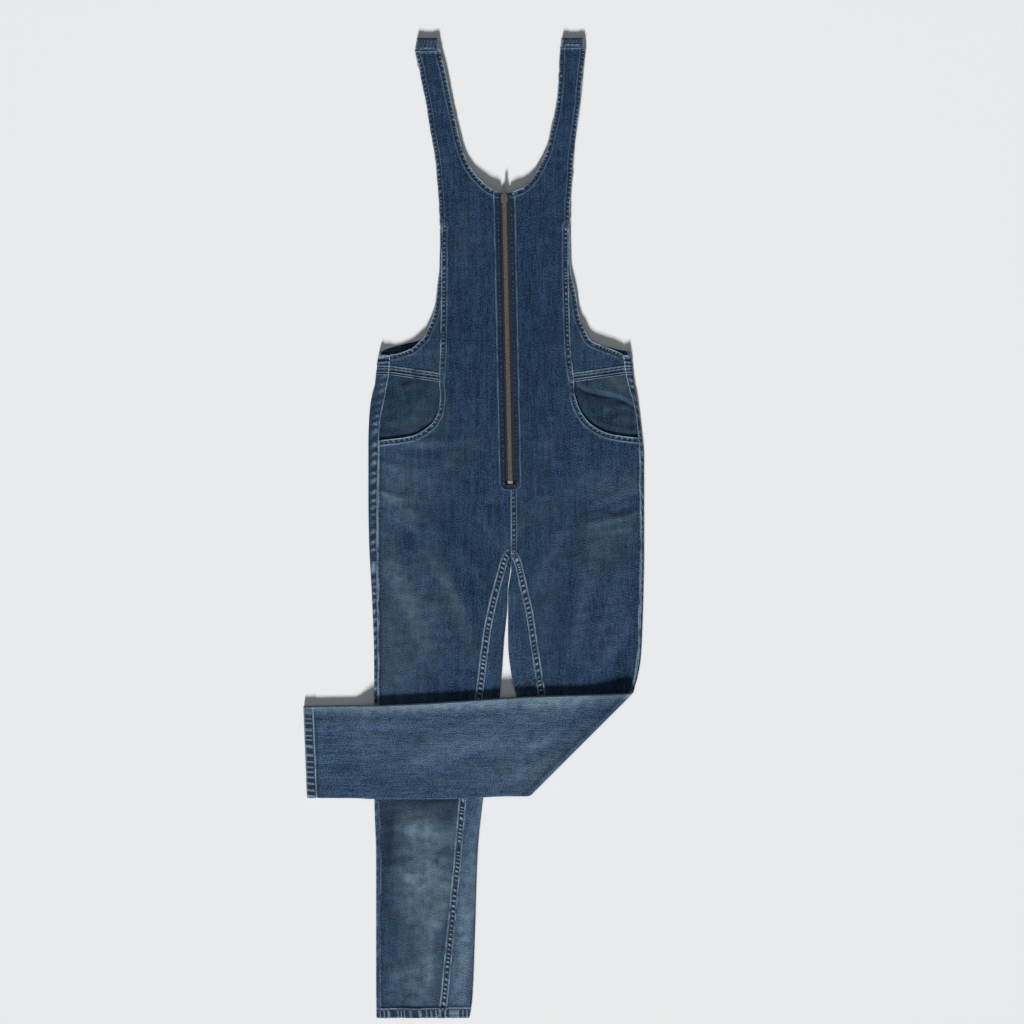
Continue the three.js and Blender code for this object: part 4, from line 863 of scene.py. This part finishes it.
def makeBackBib():
    def sideRow(y, keep):
        ridge = 0.5 * bell((y - 971) / 1.5) - 0.35 * bell((y - 974.6) / 1.4) + 0.5 * float(ease((y - 976) / 2))
        return roundRow(y, bib.columns, (ridge, ridge), keep)

    def flatRow(xa, xb, ya, yb):
        t = np.linspace(0, 1, bib.columns + 2 * wrapTop)
        return stacked(mix(xa, xb, t), mix(ya, yb, t), 0)

    sides = np.array([sideRow(y, wrapCount) for y in np.linspace(966.3, 981, 20)])
    turned = np.array([sideRow(y, wrapTop) for y in (981.0, 984.0, 986.0)])
    arm = [curve(backArm, name, "t") for name in ("rightX", "leftX", "rightY", "leftY")]
    arms = [flatRow(*(place(p) for place in arm)) for p in np.linspace(6, 0, 25)]
    chest = [flatRow(right.bib(y) + bib.inset, left.bib(y) - bib.inset, y, y)
             for y in np.linspace(bib.chestLow, s.backNeckBottom, 48)]
    flat = np.array([turned[-1]] + arms + chest)

    # up the back, round the shoulder and down to the front strap's seam
    def strap(h, base):
        t = (base[:, 0] - base[0, 0]) / (base[-1, 0] - base[0, 0])
        edge = np.abs(t - 0.5)
        baseEnd = base[-1, 0] if h is right else base[0, 0]
        hem = bib.hem * ease((edge - 0.24) / 0.03)
        centre, seamY = s.shoulder - bib.turn, shoulderSeam[h.side]

        def row(y, z=0, narrower=0, placeY=None):
            rise = clamp((s.neckCurve - y) / (s.neckCurve - s.backNeckBottom)) ** bib.curve
            neck = h.neck(y) - h.inward * bib.inset
            if y < s.neckCurve:
                neck = mix(h.neck(s.neckCurve), baseEnd, rise)
            out = h.bib(y) + h.inward * bib.inset
            a, b = (out, neck) if h is right else (neck, out)
            return stacked(mix(a + narrower, b - narrower, t), y if placeY is None else placeY, z)

        back = [*np.linspace(s.backNeckBottom, s.neckCurve, 16)[1:], *np.linspace(s.neckCurve, 1438, 44)[1:]]
        rows = [base] + [row(y) for y in back]
        for angle in np.radians(np.linspace(-80, 90, 12)):
            c, sn = np.cos(angle), np.sin(angle)
            reach = bib.turn + hem * max(0, sn)
            rows.append(row(centre, bib.turn + reach * sn, bib.narrowing * max(0, c) ** 3, centre + reach * c))
        for y in np.linspace(centre, seamY, 18)[1:]:
            puckers = 0.2 * np.sin(2 * math.pi * t * 5 + y / 3) + 0.3 * bell((y - seamY - 1.6) / 0.8)
            rows.append(row(y, s.bibTop + hem + puckers))
        at = np.array(rows)
        x, y = at[..., 0], at[..., 1]
        shown = ease((at[..., 2] - 1.2) / 1.5)
        mottle = np.sin(x * 1.7 + 2 * np.sin(y * 0.9)) * np.sin(y * 1.3 + x * 0.5)
        stitched = bell((y - seamY - 1.6) / 0.6) * ease((0.34 - edge) / 0.06)
        stitched = stitched * clamp(0.6 + 0.4 * np.sin(x * 0.9 + 1) + 0.2 * np.sin(x * 2.3))
        wear = 0.95 * bell((edge - 0.5) / 0.05) * (0.55 + 0.45 * mottle) + 0.35 * clamp(mottle) + 0.75 * stitched
        dark = 0.7 - 0.3 * mottle + 0.45 * bell((edge - 0.3) / 0.05)
        return dict(at=at, wear=shown * wear, shade=shown * dark * (1 - stitched))

    runs = []
    for at in (sides, turned, flat):
        x, y = at[..., 0], at[..., 1]
        away = besideSeam(at)
        seam = bell((away - 0.6) / 0.9)
        uneven = 0.6 + 0.4 * np.sin(1.1 * x + 0.5 * y) * np.sin(0.7 * y)
        row = y + 0.16 * (away - 4)
        wear = (0.55 * bell((row - 971) / 1.2) + ease((row - 977.5) / 1.5)) * uneven + 0.85 * seam
        shade = 0.85 * bell((row - 974.4) / 1.8) + 0.8 * bell((row - 968) / 1.3) + 0.5 * bell((away - 2.6) / 1.5)
        shown = ease((at[..., 2] - 1.2) / 1.4)
        runs.append(dict(at=at, wear=wear * shown, shade=(0.35 + shade) * (1 - seam) * shown))
    middle = (bib.columns + 2 * wrapTop) // 2
    runs += [strap(right, flat[-1][: middle - 4]), strap(left, flat[-1][middle + 4:])]
    return makeSheet("backBib", runs, True, "back")


def makeBackStrip():
    parts = np.linspace(0, 1, 25)
    rows = [(mix(stripTop["side"], stripLow["side"], v), v) for v in parts]
    at = np.array([roundRow(y, 30, [float(stripRelief(v, y, h.seed + 60)[0]) for h in (right, left)])
                   for y, v in rows])
    marks = stripRelief(parts[:, None] + 0 * at[..., 0], at[..., 0], 61)[1]
    seam = bell((besideSeam(at) - 0.6) / 0.9)
    marks.update(at=at, wear=np.maximum(marks["wear"], seam), shade=marks["shade"] * (1 - seam))
    return makeSheet("backWaistStrip", [marks], True, "back")


# zip, sizes in millimetres
zipFacts = dict(tapeThick=0.6, tapeShell=0.55, tapeInner=3.9, tapeOuter=17, tapeBottom=770, teethLow=796,
                teethHigh=1211.4, toothPitch=2.4, toothLong=3.9, toothWide=1.15, toothThick=1.9, toothBevel=0.28)
z = SimpleNamespace(**zipFacts)
tapeLevel = s.zipTop - s.cloth - s.gap - z.tapeThick / 2


def makeTape(h):
    ys = np.linspace(s.neckBottom - 1, z.tapeBottom, 150)
    offsets = np.concatenate([np.linspace(z.tapeInner, 8, 10), np.linspace(9, z.tapeOuter, 6)])
    y, offset = np.meshgrid(ys, offsets, indexing="ij")
    x = zipAxis(y) - h.inward * offset
    under = frontTop(h, x, y) - s.cloth - s.gap
    top = np.where(y < s.zipEnd, under, np.minimum(tapeLevel + z.tapeThick / 2, under))
    bead = np.minimum(0.45 * bell((offset - z.tapeInner - 0.5) / 0.6), 0.4)
    ripple = 0.06 * np.sin(2 * math.pi * y / z.toothPitch) * bell((offset - 4.2) / 1.2)
    run = dict(at=stacked(x, y, top + bead * (y > s.zipEnd) + ripple - 0.05))
    return halfSheet(h, "zipTape", [run], "tape", "right", z.tapeShell)


# shapes the active solid and takes its points and faces
def template(*steps):
    solid = bpy.context.active_object
    editMesh(*steps)
    places = np.array([v.co[:] for v in solid.data.vertices])
    faces = [list(p.vertices) for p in solid.data.polygons]
    bpy.data.objects.remove(solid)
    return places, faces


# one tooth: a bar with rounded edges, wider towards its tip
def toothMesh():
    bpy.ops.mesh.primitive_cube_add(size=1)
    bpy.context.active_object.scale = (z.toothLong, z.toothWide, z.toothThick)
    bpy.ops.object.transform_apply(scale=True)
    places, faces = template((bpy.ops.mesh.bevel, dict(offset=z.toothBevel, segments=2, affect="EDGES")))
    places[:, 1] *= 1 + 0.35 * ease((places[:, 0] - 0.4) / 1.2)
    return places, faces


# copies of one small mesh, each turned and moved, joined into one piece
def scatter(name, shape, frames, look, replaced):
    places, faces = shape
    allPlaces = np.concatenate([places @ turn.T + centre for turn, centre in frames])
    allFaces = [[v + i * len(places) for v in face] for i in range(len(frames)) for face in faces]
    return joinFrame(addPiece(name, allPlaces, allFaces, look), 40, replaced)


# the tips point to the other row
def makeTeeth(h):
    turn = np.diag([h.inward, 1.0, h.inward])
    start = z.teethLow + (0 if h is right else z.toothPitch / 2)
    frames = [(turn, np.array([zipAxis(y) - h.inward * (z.toothLong / 2 - 0.35), y, tapeLevel]))
              for y in np.arange(start, z.teethHigh, z.toothPitch)]
    return scatter("zipTeeth" + h.side.title(), toothMesh(), frames, "brass", True)


# stitches: short bars with low ends, laid along lines on the finished cloth
stitchFacts = dict(long=2.5, pitch=3.3, thick=0.5, bend=0.28, endSize=0.45, endSink=0.16, above=0.1)
stitch = SimpleNamespace(**stitchFacts)


def stitchMesh():
    bpy.ops.mesh.primitive_cylinder_add(vertices=6, radius=stitch.thick / 2, depth=1,
                                        rotation=(0, math.radians(90), 0))
    bpy.ops.object.transform_apply(rotation=True)
    places, faces = template(*((bpy.ops.mesh.bisect, dict(plane_co=(x, 0, 0), plane_no=(1, 0, 0)))
                               for x in (stitch.bend, -stitch.bend)))
    end = np.abs(places[:, 0]) > 0.4
    places[end, 1:] *= stitch.endSize
    places[:, 2] -= stitch.endSink * end
    return places, faces


def stitchFrames(at):
    steps = np.linalg.norm(np.diff(at, axis=0), axis=1)
    far = np.concatenate([[0], np.cumsum(steps)])
    frames = []
    for start in np.arange(0.4, far[-1] - stitch.long, stitch.pitch):
        first, last = (np.array([np.interp(d, far, at[:, i]) for i in range(3)])
                       for d in (start, start + stitch.long))
        size = np.linalg.norm(last - first)
        along = (last - first) / size
        side = np.cross([0, 0, 1], along)
        side = side / max(np.linalg.norm(side), 1e-9)
        up = np.cross(along, side)
        frames.append((stacked(along * size, side, up), (first + last) / 2 + up * stitch.above))
    return frames


# the stitch rows of a half's front: every seam's rows, moved in from its line
def makeStitches(h):
    frames = []
    for seam in seamsOf[h.side]:
        step = np.gradient(seam["line"], axis=0)
        step /= np.hypot(step[:, 0], step[:, 1])[:, None] + 1e-9
        normal = stacked(-step[:, 1], step[:, 0]) * seam["way"]
        for row in seamKinds[seam["kind"]].rows:
            x, y = (seam["line"] + normal * row).T
            if seam["kind"] == "legHem":
                inside = (insideEdge(h, x, y) > 3) & ((x - h.seam(y)) * h.inward > 1)
                inside &= (h.inseam(y) - x) * h.inward > 1
                x, y = x[inside], y[inside]
            if len(x) > 2:
                at = frontPlace(h, x, y, frontSeams(h, x, y)[0])
                frames += stitchFrames(foldKnee(at) if h is left else at)
    return scatter("stitches" + h.side.title(), stitchMesh(), frames, "thread", False)


# shader groups, and short forms for their nodes: a socket is linked, any other value is set
def nodeGroup(name, inputs, outputs):
    group = bpy.data.node_groups.new(name, "ShaderNodeTree")
    for label, value in inputs.items():
        kind = "NodeSocketVector" if value is None else "NodeSocketFloat"
        socket = group.interface.new_socket(name=label, in_out="INPUT", socket_type=kind)
        if value is not None:
            socket.default_value = value
    for label in outputs:
        group.interface.new_socket(name=label, in_out="OUTPUT", socket_type="NodeSocketFloat")
    given, out = group.nodes.new("NodeGroupInput"), group.nodes.new("NodeGroupOutput")
    return group, [given.outputs[label] for label in inputs], out


def isSocket(value):
    return isinstance(value, bpy.types.NodeSocket)


def feed(made, values):
    for socket, value in values.items():
        if isSocket(value):
            made.id_data.links.new(value, made.inputs[socket])
        else:
            made.inputs[socket].default_value = value
    return made


def node(tree, kind, values=None, **settings):
    made = tree.nodes.new("ShaderNode" + kind)
    for key, value in settings.items():
        setattr(made, key, value)
    return feed(made, values or {})


def treeOf(*values):
    return next(value.id_data for value in values if isSocket(value))


def calc(operation, *values, limit=False):
    return node(treeOf(*values), "Math", dict(enumerate(values)), operation=operation, use_clamp=limit).outputs[0]


def times(a, b, limit=False):
    return calc("MULTIPLY", a, b, limit=limit)


def weighted(*pairs, start=0.0):
    for value, weight in pairs:
        start = calc("MULTIPLY_ADD", value, weight, start)
    return start


def blend(amount, a, b, kind="MIX"):
    return node(treeOf(amount, a, b), "Mix", {"Factor": amount, 6: a, 7: b}, data_type="RGBA", blend_type=kind,
                clamp_factor=True).outputs[2]


def noise(vector, scale, detail=2.0, rough=0.5):
    values = dict(Vector=vector, Scale=scale, Detail=detail, Roughness=rough)
    return node(vector.id_data, "TexNoise", values, noise_dimensions="3D").outputs["Fac"]


def stretched(vector, x, y):
    return node(vector.id_data, "Mapping", dict(Vector=vector, Scale=(x, y, 1)), vector_type="POINT").outputs[0]


def ramp(value, low, high):
    values = {"Value": value, "From Min": low, "From Max": high}
    return node(value.id_data, "MapRange", values, clamp=True).outputs["Result"]


def bumped(height, strength, distance):
    values = dict(Strength=strength, Distance=distance, Height=height)
    return node(height.id_data, "Bump", values).outputs["Normal"]


# diagonal twill of warp floats, fine enough to show only from near
def makeTwill():
    group, (cloth, threads), out = nodeGroup("twillWeave", dict(Cloth=None, Threads=1500.0), ("Height", "Float"))
    split = node(group, "SeparateXYZ", {0: cloth})
    x, y = (times(split.outputs[axis], threads) for axis in "XY")
    warp = calc("SINE", times(x, 2 * math.pi))
    turn = 2 * math.pi / 3
    diagonal = calc("SINE", weighted((x, turn), (y, 0.55 * turn), (noise(cloth, 260), 2.4)))
    height = weighted((warp, 0.35), (diagonal, 0.65))
    feed(out, dict(Height=height, Float=ramp(height, -0.8, 0.9)))
    return group


# grain of the yarn both ways, lengthwise slubs, specks and the soft cloudiness of a washed cloth
grains = table(
    "x y detail rough share", (480, 75, 3, 0.7, 0.34), (180, 520, 3, 0.7, 0.20), (420, 22, 3, 0.6, 0.30),
    (130, 9, 2, 0.5, 0.16), (680, 480, 1, 0.6, 0.75))


def makeSlub():
    group, (cloth,), out = nodeGroup("slubStreaks", dict(Cloth=None), ("Streaks", "Clouds"))
    total = weighted(*((noise(stretched(cloth, x, y), 1, detail, rough), share)
                       for x, y, detail, rough, share in zip(*grains.values())), start=-0.375)
    feed(out, dict(Streaks=ramp(total, 0.42, 0.58), Clouds=ramp(noise(cloth, 40, 6, 0.7), 0.38, 0.62)))
    return group


# worn, faded, stained and shaded places from the piece's own marks, painted shade among them, broken up so that
# they never end in a clean line
def makeWearAndShade():
    inputs = {"Cloth": None, "Mark": 0.0, "Break Up": 0.5, "Scale": 400.0}
    group, (cloth, mark, breakUp, scale), out = nodeGroup("clothWear", inputs, ("Amount",))
    broken = times(weighted((noise(cloth, scale, 3.0), 2.4), start=-1.2), breakUp)
    feed(out, dict(Amount=times(mark, calc("ADD", broken, 1.0), limit=True)))
    return group


# short light puckers across a sewn band, in step with its relief
def makeTicks():
    inputs = dict(Cloth=None, Phase=0.0, Mark=0.0)
    group, (cloth, phase, mark), out = nodeGroup("seamPuckers", inputs, ("Amount",))
    turn = calc("SINE", times(phase, 2 * math.pi))
    crest = ramp(weighted((noise(cloth, 330, 2, 0.6), 1.6), (turn, 1.0), start=-0.8), 0.25, 0.85)
    feed(out, dict(Amount=times(crest, mark, limit=True)))
    return group


groups = SimpleNamespace(twill=makeTwill(), slub=makeSlub(), wear=makeWearAndShade(), ticks=makeTicks())


def newMaterial(name, settings):
    material = bpy.data.materials.new(name)
    material.use_nodes = True
    return material, material.node_tree, feed(material.node_tree.nodes["Principled BSDF"], settings)


# washed denim: dark and light yarn by the slubs, then fades, stains, shade and wear from the marks, with painted
# light on crease ridges and painted shade in creases, folds and beside raised edges
denimLooks = dict(
    front=dict(dark=(0.0012, 0.0070, 0.0235, 1), light=(0.0315, 0.0735, 0.150, 1), worn=(0.36, 0.49, 0.60, 1)),
    back=dict(dark=(0.0026, 0.012, 0.036, 1), light=(0.054, 0.114, 0.208, 1), worn=(0.36, 0.49, 0.60, 1)),
    facing=dict(dark=(0.0012, 0.0070, 0.022, 1), light=(0.025, 0.060, 0.122, 1), worn=(0.22, 0.31, 0.40, 1)))
paints = dict(khaki=(0.076, 0.110, 0.116, 1), shade=(0.008, 0.016, 0.034, 1))
# by mark, from the lowest layer up: the size of its break-up, its strength and the layer's share
layers = dict(fade=(75.0, 1.1, 0.42), khaki=(110.0, 1.2, 1.0), shade=(420.0, 0.6, 0.8), wear=(420.0, 0.8, 0.75))


def makeDenim(name, look):
    settings = {"Roughness": 0.92, "Specular IOR Level": 0.15, "Sheen Weight": 0.05, "Sheen Roughness": 0.5,
                "Sheen Tint": (0.6, 0.75, 0.95, 1)}
    material, tree, shader = newMaterial(name, settings)
    cloth = node(tree, "UVMap", uv_map="cloth").outputs["UV"]
    marks = {key: node(tree, "Attribute", attribute_name=key).outputs["Fac"] for key in markNames}
    slub = node(tree, "Group", node_tree=groups.slub)
    twill = node(tree, "Group", node_tree=groups.twill)
    for made in (slub, twill):
        feed(made, dict(Cloth=cloth))
    streaks = weighted((slub.outputs["Streaks"], 0.86), (slub.outputs["Clouds"], 0.14))
    colour = blend(streaks, look["dark"], look["light"])
    for key, (scale, breakUp, share) in layers.items():
        layer = node(tree, "Group", node_tree=groups.wear)
        feed(layer, {"Cloth": cloth, "Mark": marks[key], "Scale": scale, "Break Up": breakUp})
        colour = blend(times(layer.outputs["Amount"], share), colour, paints.get(key, look["worn"]))
    ticks = node(tree, "Group", node_tree=groups.ticks)
    feed(ticks, dict(Cloth=cloth, Phase=marks["phase"], Mark=marks["tick"]))
    colour = blend(times(ticks.outputs["Amount"], 0.7), colour, look["worn"])
    dimmed = weighted((twill.outputs["Float"], 0.3), start=0.85)
    nap = weighted((twill.outputs["Height"], 0.35), start=slub.outputs["Streaks"])
    feed(shader, {"Base Color": blend(1.0, colour, dimmed, "MULTIPLY"), "Normal": bumped(nap, 0.7, 0.0004)})
    return material


def makeTapeMaterial():
    material, tree, shader = newMaterial("zipTape", dict(Roughness=0.85))
    weave = noise(stretched(node(tree, "UVMap", uv_map="cloth").outputs["UV"], 900, 2400), 1)
    feed(shader, {"Base Color": blend(weave, (0.005, 0.004, 0.010, 1), (0.022, 0.017, 0.040, 1)),
                  "Normal": bumped(weave, 0.5, 0.0002)})
    return material


def makeMetal(name, clean, dull, roughness):
    material, tree, shader = newMaterial(name, dict(Metallic=1.0))
    tarnish = ramp(noise(node(tree, "TexCoord").outputs["Object"], 900, 3, 0.6), 0.35, 0.7)
    rough = weighted((tarnish, 0.2), start=roughness)
    feed(shader, {"Base Color": blend(tarnish, clean, dull), "Roughness": rough})
    return material


def makeThread():
    material, tree, shader = newMaterial("thread", {"Roughness": 0.8, "Specular IOR Level": 0.2})
    tone = noise(node(tree, "TexCoord").outputs["Object"], 700)
    feed(shader, {"Base Color": blend(tone, (0.055, 0.10, 0.165, 1), (0.16, 0.24, 0.33, 1))})
    return material


materials = SimpleNamespace(
    tape=makeTapeMaterial(), thread=makeThread(),
    brass=makeMetal("agedBrass", (0.36, 0.335, 0.27, 1), (0.12, 0.112, 0.09, 1), 0.55),
    stop=makeMetal("brightNickel", (0.85, 0.84, 0.81, 1), (0.5, 0.49, 0.47, 1), 0.35),
    nickel=makeMetal("wornNickel", (0.44, 0.43, 0.41, 1), (0.16, 0.155, 0.15, 1), 0.24),
    **{key: makeDenim("denim" + key.title(), look) for key, look in denimLooks.items()})

# camera straight above, as the photograph was taken
cameraFacts = dict(x=0.0570, y=0.0239, height=2.110, lens=50, sensor=36)


def makeCamera():
    data = bpy.data.cameras.new("camera")
    data.lens, data.sensor_width = cameraFacts["lens"], cameraFacts["sensor"]
    data.clip_start, data.clip_end = 0.01, 50
    camera = bpy.data.objects.new("camera", data)
    camera.location = (cameraFacts["x"], cameraFacts["y"], cameraFacts["height"])
    bpy.context.collection.objects.link(camera)
    bpy.context.scene.camera = camera


def makeFloor():
    bpy.ops.mesh.primitive_plane_add(size=12, location=(0, 0, -0.0004))
    floor = bpy.context.active_object
    floor.name = "floor"
    settings = {"Roughness": 0.95, "Base Color": (0.86, 0.86, 0.86, 1), "Specular IOR Level": 0.1}
    floor.data.materials.append(newMaterial("floorPaper", settings)[0])


# a low key light from the hems' side, a wide fill overhead and a pale room
lightFacts = dict(key=7.6, elevation=19, azimuth=-8, softness=8, fill=6, fillHeight=2.6, fillSize=3.0, room=0.12)


def makeLights():
    facts = SimpleNamespace(**lightFacts)
    key, fill = bpy.data.lights.new("keyLight", "SUN"), bpy.data.lights.new("fillLight", "AREA")
    key.energy, key.angle = facts.key, math.radians(facts.softness)
    fill.energy, fill.size = facts.fill, facts.fillSize
    for data, turn in ((key, (90 - facts.elevation, 0, facts.azimuth)), (fill, (0, 0, 0))):
        light = bpy.data.objects.new(data.name, data)
        light.location = (0, 0, facts.fillHeight)
        light.rotation_euler = [math.radians(angle) for angle in turn]
        bpy.context.collection.objects.link(light)
    world = bpy.data.worlds.new("room")
    world.use_nodes = True
    feed(world.node_tree.nodes["Background"], dict(Color=(0.82, 0.92, 1, 1), Strength=facts.room))
    bpy.context.scene.world = world
    bpy.context.scene.view_settings.view_transform = "Standard"


makeCamera()
makeFloor()
makeLights()
print("camera, floor and lights")

pieceMakers = (makeFront, makeSideFront, makeWaistStrip, makePocketBack, makeBackLeg, makeTape, makeTeeth,
               makeStitches)
for h in (right, left):
    for make in pieceMakers:
        make(h)
    print("cloth and zip of the wearer's", h.side)
makeBackBib()
makeBackStrip()
print("back bib and waist strip")

metals = dict(brass=("zip_top_stop_right", "zip_top_stop_left"), stop=("zip_bottom_stop",),
              nickel=("zip_slider", "zip_pull"))
for metal, names in metals.items():
    for name in names:
        looks = bpy.data.objects[name].data.materials
        looks.clear()
        looks.append(getattr(materials, metal))
